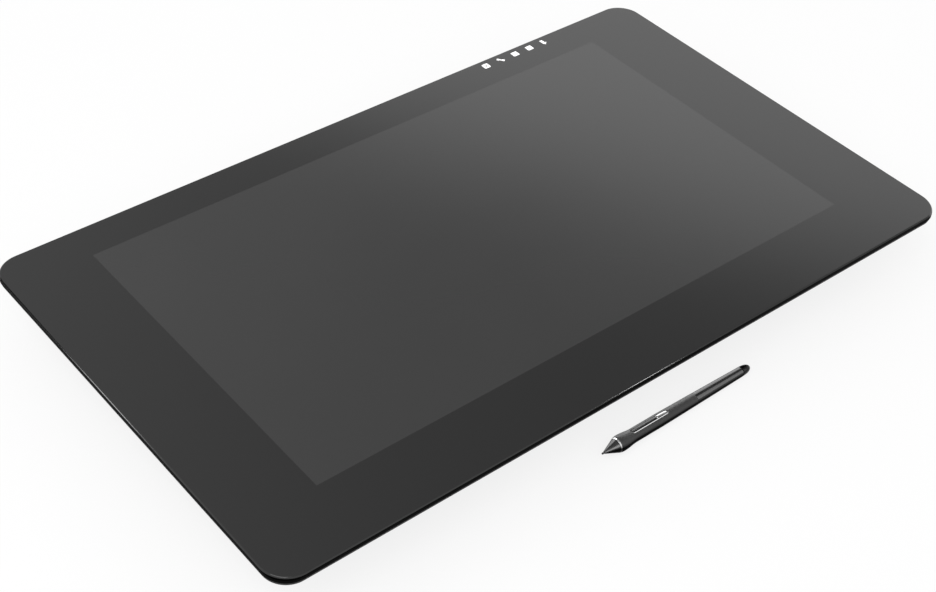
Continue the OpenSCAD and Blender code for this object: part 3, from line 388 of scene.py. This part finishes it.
def tablet_finishes():
    steel = (1.0, 1.0, 1.03)
    return {
        "adhesive": surface("foam_tape", grey(0.010), grey(0.014), (0.8, 0.9),
                            patch=300.0, grain=2500.0, depth=0.00003),
        "panel_glass": surface("panel_glass", grey(0.02), grey(0.024), (0.15, 0.2)),
        "film": surface("milky_film", grey(0.80), grey(0.86), (0.4, 0.5), patch=60.0),
        "acrylic": surface("clear_acrylic", (0.72, 0.78, 0.80, 1.0), (0.78, 0.84, 0.86, 1.0),
                           (0.08, 0.12)),
        "circuit_board": circuit_finish(),
        "sheet_steel": surface("plated_sheet", grey(0.42, steel), grey(0.50, steel), (0.30, 0.40),
                               patch=400.0, grain=900.0, depth=0.00002,
                               stretch=(0.06, 1.0, 1.0), Metallic=1.0),
        "frame_metal": surface("satin_black_frame", grey(0.0015), grey(0.0022), (0.42, 0.52),
                               patch=40.0, grain=2600.0, depth=0.00001, Specular_IOR_Level=0.01),
        "gloss_black": surface("gloss_black", grey(0.008), grey(0.012), (0.12, 0.2), patch=80.0),
        "screw_steel": surface("black_screw", grey(0.05, steel), grey(0.09, steel), (0.25, 0.4),
                               patch=400.0, Metallic=1.0),
        "socket_steel": surface("nickel_shell", grey(0.52, steel), grey(0.62, steel), (0.18, 0.3),
                                patch=200.0, Metallic=1.0),
        "case_plastic": surface("case_plastic", grey(0.014), grey(0.019), (0.48, 0.58),
                                patch=18.0, grain=1600.0, depth=0.00004, Specular_IOR_Level=0.35),
        "sink_aluminium": surface("sink_aluminium", grey(0.5), grey(0.6), (0.3, 0.42),
                                  patch=80.0, stretch=(1.0, 0.1, 1.0), Metallic=1.0),
        "foot_rubber": surface("foot_rubber", grey(0.010), grey(0.015), (0.75, 0.9),
                               patch=120.0, grain=1800.0, depth=0.00005, Specular_IOR_Level=0.3),
        "copper": surface("enamelled_wire", (0.42, 0.16, 0.06, 1.0), (0.55, 0.24, 0.09, 1.0),
                          (0.25, 0.35), patch=200.0, Metallic=1.0),
    }


def pen_finishes():
    finishes = {
        "pen_plastic": surface("pen_plastic", grey(0.006), grey(0.008), (0.16, 0.2), patch=150.0),
        "pen_rubber": surface("pen_rubber", grey(0.024), grey(0.030), (0.42, 0.5),
                              patch=500.0, grain=3200.0, depth=0.00006),
        "pen_nose_plastic": surface("pen_nose_plastic", grey(0.012), grey(0.016), (0.16, 0.22),
                                    patch=300.0),
        "pen_metal": surface("pen_metal", grey(0.58), grey(0.64), (0.2, 0.28),
                             patch=600.0, Metallic=1.0),
        # Painted shade: a darker copy of the pen's metal for the switch frame, to dim its highlights
        "shaded_trim_metal": surface("shaded_trim_metal", grey(0.27), grey(0.31), (0.24, 0.3),
                              patch=600.0, Metallic=1.0),
    }
    # Painted shade: these finishes darken in colour and gloss where they face sideways or down
    for material in finishes.values():
        paint_underside_shade(material)
    finishes.update({
        "switch_plastic": surface("switch_plastic", grey(0.045), grey(0.055), (0.4, 0.5),
                                  patch=300.0, grain=3200.0, depth=0.00002),
        "pad_metal": surface("pad_metal", grey(0.36), grey(0.40), (0.24, 0.3),
                             patch=600.0, Metallic=1.0),
        "eraser_rubber": surface("eraser_rubber", grey(0.0010), grey(0.0016), (0.2, 0.26),
                                 patch=400.0, Specular_IOR_Level=0.14),
        "nib_plastic": surface("nib_plastic", grey(0.012), grey(0.016), (0.35, 0.45), patch=400.0),
    })
    return finishes


# Mesh building

def loft(bm, rings, loop=False):
    """Joins rings of equally many points with quads, the last to the first where loop is set."""
    made = [[bm.verts.new(point) for point in ring] for ring in rings]
    pairs = list(zip(made, made[1:]))
    if loop:
        pairs.append((made[-1], made[0]))
    for near, far in pairs:
        for i in range(len(near)):
            j = (i + 1) % len(near)
            bm.faces.new((near[i], near[j], far[j], far[i]))
    return made


def closed_loft(bm, rings):
    """Joins rings and closes both ends."""
    made = loft(bm, rings)
    bm.faces.new(made[0])
    bm.faces.new(made[-1])


def rounded_ring(width, depth, radius, z, steps, centre=(0.0, 0.0)):
    """Points of a rounded rectangle, corner by corner, anticlockwise from the back right."""
    ring = []
    for corner, (sx, sy) in enumerate(((1, 1), (-1, 1), (-1, -1), (1, -1))):
        cx = centre[0] + sx * (width / 2 - radius)
        cy = centre[1] + sy * (depth / 2 - radius)
        for i in range(steps + 1):
            angle = math.radians(90 * (corner + i / steps))
            ring.append(Vector((cx + radius * math.cos(angle), cy + radius * math.sin(angle), z)))
    return ring


def lathe(bm, profile):
    """Turns a closed outline of (distance, radius) points about the X axis."""
    angles = [math.tau * i / PEN_STEPS for i in range(PEN_STEPS)]
    rings = []
    for x, r in profile:
        rings.append([Vector((x, r * math.cos(a), r * math.sin(a))) for a in angles])
    loft(bm, rings, loop=True)


def fillet(points, radius):
    """Rounds every corner of a closed outline."""
    out = []
    for i, here in enumerate(points):
        corner = Vector(here)
        before = (Vector(points[i - 1]) - corner).normalized()
        after = (Vector(points[(i + 1) % len(points)]) - corner).normalized()
        half = before.angle(after) / 2
        reach = radius / math.tan(half)
        middle = corner + (before + after).normalized() * radius / math.sin(half)
        start = corner + before * reach - middle
        end = corner + after * reach - middle
        for k in range(FILLET_STEPS + 1):
            spoke = start.lerp(end, k / FILLET_STEPS).normalized() * radius
            out.append(tuple(middle + spoke))
    return out


def make_object(name, bm, materials, sharp=SHARP_ANGLE):
    bmesh.ops.recalc_face_normals(bm, faces=bm.faces)
    mesh = bpy.data.meshes.new(name)
    bm.to_mesh(mesh)
    bm.free()
    for material in materials:
        mesh.materials.append(material)
    mesh.shade_smooth()
    mesh.set_sharp_from_angle(angle=math.radians(sharp))
    piece = bpy.data.objects.new(name, mesh)
    bpy.context.scene.collection.objects.link(piece)
    return piece


def dress(piece, body, slot, *replaced):
    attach(piece, body)
    if replaced:
        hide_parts(*replaced)


def cut(piece, cutter):
    """Takes the cutter's volume out of a piece and deletes the cutter."""
    change = piece.modifiers.new("cut", "BOOLEAN")
    change.object = cutter
    change.operation = "DIFFERENCE"
    change.solver = "EXACT"
    depsgraph = bpy.context.evaluated_depsgraph_get()
    mesh = bpy.data.meshes.new_from_object(piece.evaluated_get(depsgraph))
    piece.modifiers.clear()
    piece.data = mesh
    bpy.data.objects.remove(cutter)


def solid_boxes(node):
    """Lowest and highest corner of each separate solid of a CAD node."""
    bm = bmesh.new()
    bm.from_mesh(nodes[node].data)
    bmesh.ops.remove_doubles(bm, verts=bm.verts, dist=TINY * MM)
    left = set(bm.verts)
    boxes = []
    while left:
        group = [left.pop()]
        for vert in group:
            for edge in vert.link_edges:
                other = edge.other_vert(vert)
                if other in left:
                    left.remove(other)
                    group.append(other)
        low = Vector(min(v.co[k] for v in group) for k in range(3))
        high = Vector(max(v.co[k] for v in group) for k in range(3))
        boxes.append((low, high))
    bm.free()
    return boxes


# Glass face with the picture area

def build_glass(finishes):
    low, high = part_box("cover_glass")
    size = (high - low) / MM
    middle = ((low.x + high.x) / 2 / MM, (low.y + high.y) / 2 / MM)
    z0 = low.z / MM
    z1 = high.z / MM
    bevel_foot = z1 - GLASS_BEVEL
    edge = [
        (GLASS_FOOT, z0),
        (0.0, z0 + GLASS_FOOT),
        (0.0, bevel_foot - GLASS_EASE),
        (GLASS_EASE, bevel_foot + GLASS_EASE),
        (GLASS_BEVEL - GLASS_EASE, z1 - GLASS_EASE),
        (GLASS_BEVEL + GLASS_EASE, z1),
        (GLASS_MARGIN, z1),
    ]
    rings = []
    for inset, z in edge:
        width = size.x - 2 * inset
        depth = size.y - 2 * inset
        rings.append(rounded_ring(width, depth, GLASS_CORNER - inset, z, CORNER_STEPS, middle))
    kinds = ("cover_glass", "picture_glass", "glass_bevel", "glass_edge")
    bm = bmesh.new()
    made = loft(bm, rings)
    for face in bm.faces:
        height = face.calc_center_median().z
        if height < bevel_foot + GLASS_EASE:
            face.material_index = kinds.index("glass_edge")
        elif height < z1:
            face.material_index = kinds.index("glass_bevel")
    bm.faces.new(made[0]).material_index = kinds.index("glass_edge")
    left = low.x / MM + SIDE_BORDER
    right = high.x / MM - SIDE_BORDER
    front = low.y / MM + FRONT_BORDER
    back = high.y / MM - BACK_BORDER
    corners = ((right, back), (left, back), (left, front), (right, front))
    window = [bm.verts.new((x, y, z1)) for x, y in corners]
    outline = made[-1]
    per_corner = CORNER_STEPS + 1
    for corner in range(4):
        arc = outline[corner * per_corner:(corner + 1) * per_corner]
        for a, b in zip(arc, arc[1:]):
            bm.faces.new((a, b, window[corner]))
        following = (corner + 1) % 4
        bm.faces.new((arc[-1], outline[following * per_corner], window[following], window[corner]))
    bm.faces.new(window).material_index = kinds.index("picture_glass")
    bmesh.ops.scale(bm, vec=(MM, MM, MM), verts=bm.verts)
    glass = make_object("glass_face", bm, [finishes[kind] for kind in kinds], sharp=GLASS_SHARP)
    dress(glass, "tablet", "cover_glass", "cover_glass")


# Touch keys printed on the glass

def framed_square():
    outer = rounded_ring(KEY_W, KEY_W, KEY_FRAME_ROUND, 0.0, steps=7)
    angles = [math.atan2(p.y, p.x) for p in outer]
    hole = [Vector((math.cos(a), math.sin(a), 0.0)) * KEY_SPOT_R for a in angles]
    return outer, hole


def plain_square():
    return rounded_ring(KEY_W, KEY_D, KEY_PLAIN_ROUND, 0.0, steps=5), None


def double_ended_bar():
    half = [(-3.7, 1.3), (-1.7, 1.3), (-0.9, 0.75), (0.9, 0.75), (1.7, 1.3), (3.7, 1.3)]
    outline = half + [(x, -y) for x, y in reversed(half)]
    turn = Matrix.Rotation(math.radians(KEY_BAR_TURN), 3, "Z")
    return [turn @ Vector((x, y, 0.0)) for x, y in outline], None


def pointer_bar():
    bar = [(-2.3, 3.4), (0.6, 3.4), (0.9, -0.6)]
    head = [(2.7, -1.6), (1.2, -2.2), (-0.3, -4.2), (-2.1, -1.6)]
    return [Vector((x, y, 0.0)) for x, y in bar + head], None


def build_touch_keys(finishes):
    low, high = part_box("cover_glass")
    marks = (framed_square(), double_ended_bar(), plain_square(), plain_square(), pointer_bar())
    up = Vector((0.0, 0.0, KEY_PRINT))
    bm = bmesh.new()
    for i, (outer, hole) in enumerate(marks):
        place = Vector((
            high.x / MM - KEY_RIGHT + (i - len(marks) // 2) * KEY_PITCH,
            high.y / MM - KEY_BACK,
            high.z / MM,
        ))
        lower = [p + place for p in outer]
        upper = [p + up for p in lower]
        if hole:
            inner = [p + place for p in hole]
            loft(bm, [lower, upper, [p + up for p in inner], inner], loop=True)
        else:
            closed_loft(bm, [lower, upper])
    bmesh.ops.scale(bm, vec=(MM, MM, MM), verts=bm.verts)
    dress(make_object("touch_key_marks", bm, [finishes["key_light"]]), "tablet", "cover_glass")


# Pen

def pen_place():
    """Matrix from the pen's own millimetres, tip at zero and axis along X, to the frame."""
    low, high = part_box("pen_nib")
    axis = Vector(joints["nib_press"]["axis"]).normalized()
    side = Vector((-axis.y, axis.x, 0.0)).normalized()
    up = axis.cross(side)
    turn = Matrix((axis, side, up)).transposed().to_4x4()
    tip = Vector((low.x, low.y + NIB_R * MM, high.z - NIB_R * MM))
    return Matrix.Translation(tip) @ turn @ Matrix.Scale(MM, 4)


def pen_radius(x):
    """Radius of the pen's skin: a swell behind the ring, an even stretch, then a taper."""
    if x < PEAK_X:
        return GRIP_R - (GRIP_R - SHOULDER_R) * ((PEAK_X - x) / (PEAK_X - GRIP_X0)) ** 2
    if x < FLARE_END:
        swell = (1 + math.cos(math.pi * (x - PEAK_X) / (FLARE_END - PEAK_X))) / 2
        return BODY_R + (GRIP_R - BODY_R) * swell
    if x < TAPER_X:
        return BODY_R
    return BODY_R - (BODY_R - TAIL_R) * ((x - TAPER_X) / (TAIL_X - TAPER_X)) ** TAPER_POWER


def stadium_ring(length, width, z):
    """Points of a slot outline along X, centred on the switch."""
    ring = []
    radius = width / 2
    for end, centre in ((0, length / 2 - radius), (1, radius - length / 2)):
        for i in range(SLOT_STEPS + 1):
            angle = math.pi * (end - 0.5 + i / SLOT_STEPS)
            x = SWITCH_MID + centre + radius * math.cos(angle)
            ring.append(Vector((x, radius * math.sin(angle), z)))
    return ring


def pen_piece(name, bm, materials, body, slot, *replaced):
    bm.transform(pen_place())
    dress(make_object(name, bm, materials), body, slot, *replaced)


def build_nose(finishes):
    bore = NIB_R + NIB_GAP
    outline = [(NOSE_X0, bore), (NOSE_X1, bore), (NOSE_X1, NOSE_END_R), (NOSE_X0, NOSE_TIP_R)]
    bm = bmesh.new()
    lathe(bm, fillet(outline, NOSE_FILLET))
    finish = finishes["pen_nose_plastic"]
    pen_piece("pen_nose_cone", bm, [finish], "pen_body", "pen_nose_plastic", "pen_nose")


def build_ring(finishes):
    x0 = NOSE_X1 + RING_GAP
    x1 = GRIP_X0 - RING_GAP
    outline = [(x0, TUBE_R), (x1, TUBE_R), (x1, SHOULDER_R), (x0, NOSE_END_R + RING_STEP)]
    bm = bmesh.new()
    lathe(bm, fillet(outline, RING_FILLET))
    pen_piece("pen_bright_ring", bm, [finishes["pen_metal"]], "pen_body", "pen_metal", "pen_ring")


def build_grip(finishes):
    lip = GRIP_LIP
    skin = []
    for i in range(GRIP_STATIONS + 1):
        x = GRIP_X0 + lip + (GRIP_X1 - GRIP_X0 - 2 * lip) * i / GRIP_STATIONS
        skin.append((x, pen_radius(x)))
    front_r = SHOULDER_R
    front = [(GRIP_X0, TUBE_R), (GRIP_X0, front_r - lip), (GRIP_X0 + lip / 3, front_r - lip / 3)]
    rear_r = pen_radius(GRIP_X1)
    rear = [(GRIP_X1 - lip / 3, rear_r - lip / 3), (GRIP_X1, rear_r - lip), (GRIP_X1, TUBE_R)]
    bm = bmesh.new()
    lathe(bm, front + skin + rear)
    bm.transform(pen_place())
    slot_bm = bmesh.new()
    slot_l = SWITCH_L + SLOT_PLAY
    slot_w = SWITCH_W + SLOT_PLAY
    closed_loft(slot_bm, [stadium_ring(slot_l, slot_w, z) for z in (SWITCH_Z, 2 * GRIP_R)])
    slot_bm.transform(pen_place())
    cutter = make_object("slot", slot_bm, [])
    grip = make_object("pen_soft_grip", bm, [finishes["pen_rubber"]])
    cut(grip, cutter)
    grip.data.set_sharp_from_angle(angle=math.radians(SHARP_ANGLE))
    dress(grip, "pen_body", "pen_rubber", "pen_grip")


def build_trim(finishes):
    """A thin frame round the switch that follows the pen's skin, metal outside, and dark inside as
    painted shade.
    """
    skin_r = BODY_R + TRIM_PROUD
    outer = stadium_ring(SWITCH_L, SWITCH_W, 0.0)
    inner = stadium_ring(SWITCH_L - 2 * TRIM_WALL, SWITCH_W - 2 * TRIM_WALL, 0.0)
    sections = []
    for out, into in zip(outer, inner):
        across = (into - out).normalized() * TRIM_EDGE
        top_out = math.sqrt(skin_r ** 2 - out.y ** 2)
        top_in = math.sqrt(skin_r ** 2 - into.y ** 2)
        sections.append([
            Vector((out.x, out.y, SWITCH_Z)),
            Vector((out.x, out.y, top_out - TRIM_EDGE)),
            out + across + Vector((0.0, 0.0, top_out)),
            into - across + Vector((0.0, 0.0, top_in)),
            Vector((into.x, into.y, top_in - TRIM_EDGE)),
            Vector((into.x, into.y, SWITCH_Z)),
        ])
    kinds = ("shaded_trim_metal", "pen_plastic")
    # Painted shade: the inner chamfer and inner wall take the dark plastic
    painted_shade_strips = (3, 4)
    bm = bmesh.new()
    loft(bm, sections, loop=True)
    for k, face in enumerate(bm.faces):
        if k % len(sections[0]) in painted_shade_strips:
            face.material_index = kinds.index("pen_plastic")
    materials = [finishes[kind] for kind in kinds]
    pen_piece("pen_switch_frame", bm, materials, "pen_body", "pen_metal", "pen_switch_trim")


def rocker_height(x):
    """Top of the rocker: ridges in front, a notch, and a smooth rear pad."""
    half = SWITCH_L / 2 - TRIM_WALL - SWITCH_GAP
    along = (x - SWITCH_MID) / half
    crown = ROCKER_TOP - ROCKER_SAG * along ** 4
    notch = NOTCH_DEPTH * math.exp(-((x - ROCKER_SPLIT) / NOTCH_W) ** 2)
    ridge = 0.0
    if abs(along) < RIDGE_REACH and x < ROCKER_SPLIT - RIDGE_CLEAR:
        ridge = RIDGE_DEPTH * (1 - math.cos(math.tau * (x - SWITCH_MID) / RIDGE_PITCH)) / 2
    return crown - notch - ridge


def rocker_section(along):
    """Section across the rocker at a place from -1 to 1 along it, from one foot to the other."""
    half_w = SWITCH_W / 2 - TRIM_WALL - SWITCH_GAP
    half_l = SWITCH_L / 2 - TRIM_WALL - SWITCH_GAP
    base = SWITCH_Z + ROCKER_LIFT
    x = SWITCH_MID + along * (half_l - ROCKER_END_GAP)
    past = abs(along * half_l) - (half_l - half_w)
    wide = half_w
    if past > 0:
        wide = math.sqrt(max(half_w ** 2 - past ** 2, ROCKER_END_W ** 2))
    top = rocker_height(x)
    section = [Vector((x, -wide, base))]
    for k in range(ROCKER_STRIPS + 1):
        y = -wide * math.cos(math.pi * k / ROCKER_STRIPS)
        section.append(Vector((x, y, top - ROCKER_CROWN * (y / half_w) ** 2)))
    section.append(Vector((x, wide, base)))
    return section


def build_rocker(finishes):
    """Rocker with dark walls, painted shade along one side of its front half, and a metal rear pad.
    """
    sections = [rocker_section(-1 + 2 * i / ROCKER_STATIONS) for i in range(ROCKER_STATIONS + 1)]
    kinds = ("switch_plastic", "pad_metal", "pen_plastic")
    walls_and_floor = (0, ROCKER_STRIPS + 1, ROCKER_STRIPS + 2)
    bm = bmesh.new()
    closed_loft(bm, sections)
    for k, face in enumerate(bm.faces):
        strip = k % len(sections[0])
        rear = face.calc_center_median().x > ROCKER_SPLIT
        # Painted shade: strips along one side of the front half take the dark plastic
        painted_shade = strip < ROCKER_PAINTED_SHADE_STRIPS and not rear
        if painted_shade or strip in walls_and_floor:
            face.material_index = kinds.index("pen_plastic")
        elif rear:
            face.material_index = kinds.index("pad_metal")
    materials = [finishes[kind] for kind in kinds]
    pen_piece("pen_switch_rocker", bm, materials, "switch_body", "pen_plastic", "pen_switch")


def build_eraser(finishes):
    """Rounded end of the pen."""
    x0 = ERASER_X0 + ERASER_EDGE
    outline = [(ERASER_X0, 0.0), (ERASER_X0, ERASER_R - ERASER_EDGE)]
    for i in range(ERASER_STEPS + 1):
        angle = math.pi / 2 * i / ERASER_STEPS
        x = x0 + (ERASER_X1 - x0) * math.sin(angle) ** ERASER_POWER
        outline.append((x, ERASER_R * math.cos(angle) ** ERASER_POWER))
    bm = bmesh.new()
    lathe(bm, outline)
    bmesh.ops.remove_doubles(bm, verts=bm.verts, dist=TINY)
    finish = finishes["eraser_rubber"]
    pen_piece("pen_eraser_tip", bm, [finish], "eraser_body", "nib_plastic", "pen_eraser")


def build_pen(finishes):
    build_nose(finishes)
    build_ring(finishes)
    build_grip(finishes)
    build_trim(finishes)
    build_rocker(finishes)
    build_eraser(finishes)


# Screws with a cross recess, and rounded feet

def cross_angles(arm, reach):
    """Angles round a cross recess that hit all its corners."""
    corner = math.atan2(arm, reach)
    gap = math.pi / 2 - 2 * corner
    quarter = [-corner, 0.0, corner]
    quarter += [corner + gap * i / CROSS_STEPS for i in range(1, CROSS_STEPS)]
    return [math.pi / 2 * turn + angle for turn in range(4) for angle in quarter]


def cross_radius(angle, arm, reach):
    """Distance from the middle of a cross recess to its outline."""
    fold = abs((angle + math.pi / 4) % (math.pi / 2) - math.pi / 4)
    if fold < math.atan2(arm, reach):
        return reach / math.cos(fold)
    return arm / math.sin(fold)


def spoked_ring(middle, angles, radii, z):
    """Points round a middle, each at its own angle and radius."""
    ring = []
    for angle, r in zip(angles, radii):
        ring.append(Vector((middle.x + r * math.cos(angle), middle.y + r * math.sin(angle), z)))
    return ring


def screw_rings(low, high, sunk):
    """Rings of one screw, from the floor of its recess over the head to the end of the shank."""
    middle = (low + high) / 2
    head_r = (high.x - low.x) / 2
    arm = head_r * CROSS_ARM
    reach = head_r * CROSS_REACH
    shank_r = head_r * (SUNK_SHANK if sunk else PAN_SHANK)
    head_h = head_r * (SUNK_HEAD if sunk else PAN_HEAD)
    rim = head_r * HEAD_RIM
    angles = cross_angles(arm, reach)
    recess = [cross_radius(angle, arm, reach) for angle in angles]
    recess_floor = [r * CROSS_FLOOR for r in recess]
    rings = [
        spoked_ring(middle, angles, recess_floor, low.z + head_h * CROSS_DEPTH),
        spoked_ring(middle, angles, recess, low.z),
    ]
    circles = (
        (head_r - rim, low.z),
        (head_r - rim * RIM_EASE, low.z + rim * RIM_EASE),
        (head_r, low.z + rim),
        (shank_r if sunk else head_r, low.z + head_h),
        (shank_r, low.z + head_h + rim * RIM_STEP),
        (shank_r, high.z),
    )
    for r, z in circles:
        rings.append(spoked_ring(middle, angles, [r] * len(angles), z))
    return rings


def build_screws(node, name, finishes, sunk):
    """Screws whose heads face down, each in the place of its solid."""
    bm = bmesh.new()
    for low, high in solid_boxes(node):
        closed_loft(bm, screw_rings(low, high, sunk))
    dress(make_object(name, bm, [finishes["screw_steel"]]), "tablet", "screw_steel", node)


def build_feet(node, name, finishes):
    """Rubber feet with a rounded sole, each in the place of its solid."""
    sole = FOOT_SOLE * MM
    bm = bmesh.new()
    for low, high in solid_boxes(node):
        centre = ((low.x + high.x) / 2, (low.y + high.y) / 2)
        size = high - low
        radius = min(size.x, size.y) / 2 - TINY * MM
        levels = (
            (sole, low.z),
            (sole * SOLE_IN, low.z + sole * SOLE_UP),
            (0.0, low.z + sole),
            (0.0, high.z),
        )
        rings = []
        for inset, z in levels:
            width = size.x - 2 * inset
            depth = size.y - 2 * inset
            rings.append(rounded_ring(width, depth, radius - inset, z, FOOT_STEPS, centre))
        closed_loft(bm, rings)
    dress(make_object(name, bm, [finishes["foot_rubber"]]), "tablet", "foot_rubber", node)


# Stage: floor, sky, lamps and camera

def ray_kinds(tree, kinds):
    """One for a ray of any of these kinds, and zero for others."""
    path = add_node(tree, "ShaderNodeLightPath")
    seen = path.outputs[kinds[0]]
    for kind in kinds[1:]:
        either = add_node(tree, "ShaderNodeMath", operation="MAXIMUM")
        tree.links.new(seen, either.inputs[0])
        tree.links.new(path.outputs[kind], either.inputs[1])
        seen = either.outputs[0]
    return seen


def floor_finish():
    """Matt white that also shines where it is looked at or mirrored, and is clear from below."""
    material = bpy.data.materials.new("pale_floor")
    material.use_nodes = True
    tree = material.node_tree
    tree.nodes.clear()
    place = object_place(tree)
    tone = shade_between(tree, noise(tree, place, FLOOR_PATCH), grey(0.90), grey(0.92))
    matt = add_node(tree, "ShaderNodeBsdfDiffuse")
    tree.links.new(tone, matt.inputs["Color"])
    white = add_node(tree, "ShaderNodeEmission", {"Strength": 1.0})
    seen = ray_kinds(tree, ("Is Camera Ray", "Is Glossy Ray", "Is Transmission Ray"))
    share = add_node(tree, "ShaderNodeMath", {1: FLOOR_WHITE}, operation="MULTIPLY")
    tree.links.new(seen, share.inputs[0])
    lit = mix_shaders(tree, share.outputs[0], matt.outputs[0], white.outputs[0])
    side = add_node(tree, "ShaderNodeNewGeometry")
    clear = add_node(tree, "ShaderNodeBsdfTransparent")
    faced = mix_shaders(tree, side.outputs["Backfacing"], lit, clear.outputs[0])
    output = add_node(tree, "ShaderNodeOutputMaterial")
    tree.links.new(faced, output.inputs["Surface"])
    return material


def build_floor():
    bm = bmesh.new()
    bmesh.ops.create_grid(bm, x_segments=FLOOR_CELLS, y_segments=FLOOR_CELLS, size=FLOOR_HALF)
    floor = make_object("floor", bm, [floor_finish()])


def sky_spot(tree, place, centre, edge, outside, inside):
    """A soft round spot of the sky: its level outside and inside, by the cosine from its centre."""
    way = Vector(centre).normalized()
    cosine = add_node(tree, "ShaderNodeVectorMath", {1: way}, operation="DOT_PRODUCT")
    tree.links.new(place, cosine.inputs[0])
    level = add_node(tree, "ShaderNodeMapRange", {
        "From Min": edge[0],
        "From Max": edge[1],
        "To Min": outside,
        "To Max": inside,
    }, interpolation_type="SMOOTHSTEP")
    tree.links.new(cosine.outputs["Value"], level.inputs["Value"])
    return level.outputs["Result"]


def build_sky():
    world = bpy.data.worlds.new("studio")
    bpy.context.scene.world = world
    world.use_nodes = True
    tree = world.node_tree
    background = tree.nodes["Background"]
    background.inputs["Color"].default_value = grey(1.0)
    place = add_node(tree, "ShaderNodeTexCoord").outputs["Generated"]
    level = sky_spot(tree, place, ARCH_CENTRE, ARCH_EDGE, SKY_LEVEL, ARCH_LEVEL)
    for centre, edge, share in DARK_SPOTS:
        product = add_node(tree, "ShaderNodeMath", operation="MULTIPLY")
        tree.links.new(level, product.inputs[0])
        tree.links.new(sky_spot(tree, place, centre, edge, 1.0, share), product.inputs[1])
        level = product.outputs[0]
    tree.links.new(level, background.inputs["Strength"])


def add_softbox(name):
    """A rectangular lamp that faces a point."""
    aim, direction, distance, size, watts = LAMPS[name]
    lamp = bpy.data.lights.new(name, "AREA")
    lamp.shape = "RECTANGLE"
    lamp.size = size[0]
    lamp.size_y = size[1]
    lamp.energy = watts
    holder = bpy.data.objects.new(name, lamp)
    way = Vector(direction).normalized()
    holder.location = Vector(aim) + way * distance
    holder.rotation_euler = way.to_track_quat("Z", "Y").to_euler()
    bpy.context.scene.collection.objects.link(holder)
    return holder


def light_only(name, pieces):
    """Adds a lamp that reaches some pieces alone, past whatever else stands in its way."""
    lamp = add_softbox(name)
    lit = bpy.data.collections.new(name + "_lit")
    passed = bpy.data.collections.new(name + "_passed")
    for thing in bpy.context.scene.objects:
        if thing in pieces:
            lit.objects.link(thing)
        elif thing.type == "MESH":
            passed.objects.link(thing)
    for entry in passed.collection_objects:
        entry.light_linking.link_state = "EXCLUDE"
    lamp.light_linking.receiver_collection = lit
    lamp.light_linking.blocker_collection = passed


def build_lamps():
    add_softbox("key_softbox")
    add_softbox("left_lamp")


def light_pieces():
    """A small lamp for the glass alone, and broad ones for the pen alone, behind it and in front."""
    made = bpy.data.objects
    nose = made["pen_nose_cone"]
    ring = made["pen_bright_ring"]
    glossy = [nose, ring, nodes["pen_barrel"], nodes["pen_nib"]]
    soft = [made["pen_soft_grip"], made["pen_switch_rocker"]]
    small = [made["pen_switch_frame"], made["pen_eraser_tip"]]
    light_only("front_strip", [made["glass_face"]])
    light_only("pen_back_light", glossy + soft)
    light_only("pen_front_light", glossy + small)
    light_only("nose_back_light", [nose, ring])
    light_only("nose_front_light", [nose])


def build_camera():
    lens = bpy.data.cameras.new("camera")
    lens.lens = CAMERA_LENS
    lens.sensor_width = CAMERA_SENSOR
    lens.sensor_fit = "HORIZONTAL"
    lens.shift_x = CAMERA_SHIFT_X
    holder = bpy.data.objects.new("camera", lens)
    holder.location = CAMERA_PLACE
    holder.rotation_euler = [math.radians(angle) for angle in CAMERA_TURN]
    bpy.context.scene.collection.objects.link(holder)
    bpy.context.scene.camera = holder
    bpy.context.scene.view_settings.view_transform = "Standard"


def paint_nodes(finishes):
    """Gives each CAD node the finish of its material slot."""
    for part in frame["record"]["subparts"]:
        mesh = nodes[part["node"]].data
        mesh.materials.clear()
        mesh.materials.append(finishes[part["material_slot"]])


build_camera()
build_floor()
build_sky()
build_lamps()
finishes = {**glass_finishes(), **tablet_finishes(), **pen_finishes()}
paint_nodes(finishes)
build_glass(finishes)
build_touch_keys(finishes)
build_pen(finishes)
build_screws("case_screws", "case_screw_heads", finishes, sunk=False)
build_screws("mount_plate_screws", "mount_screw_heads", finishes, sunk=True)
build_screws("hinge_screws", "hinge_screw_heads", finishes, sunk=True)
build_feet("front_feet", "front_foot_soles", finishes)
build_feet("rear_feet", "rear_foot_soles", finishes)
light_pieces()
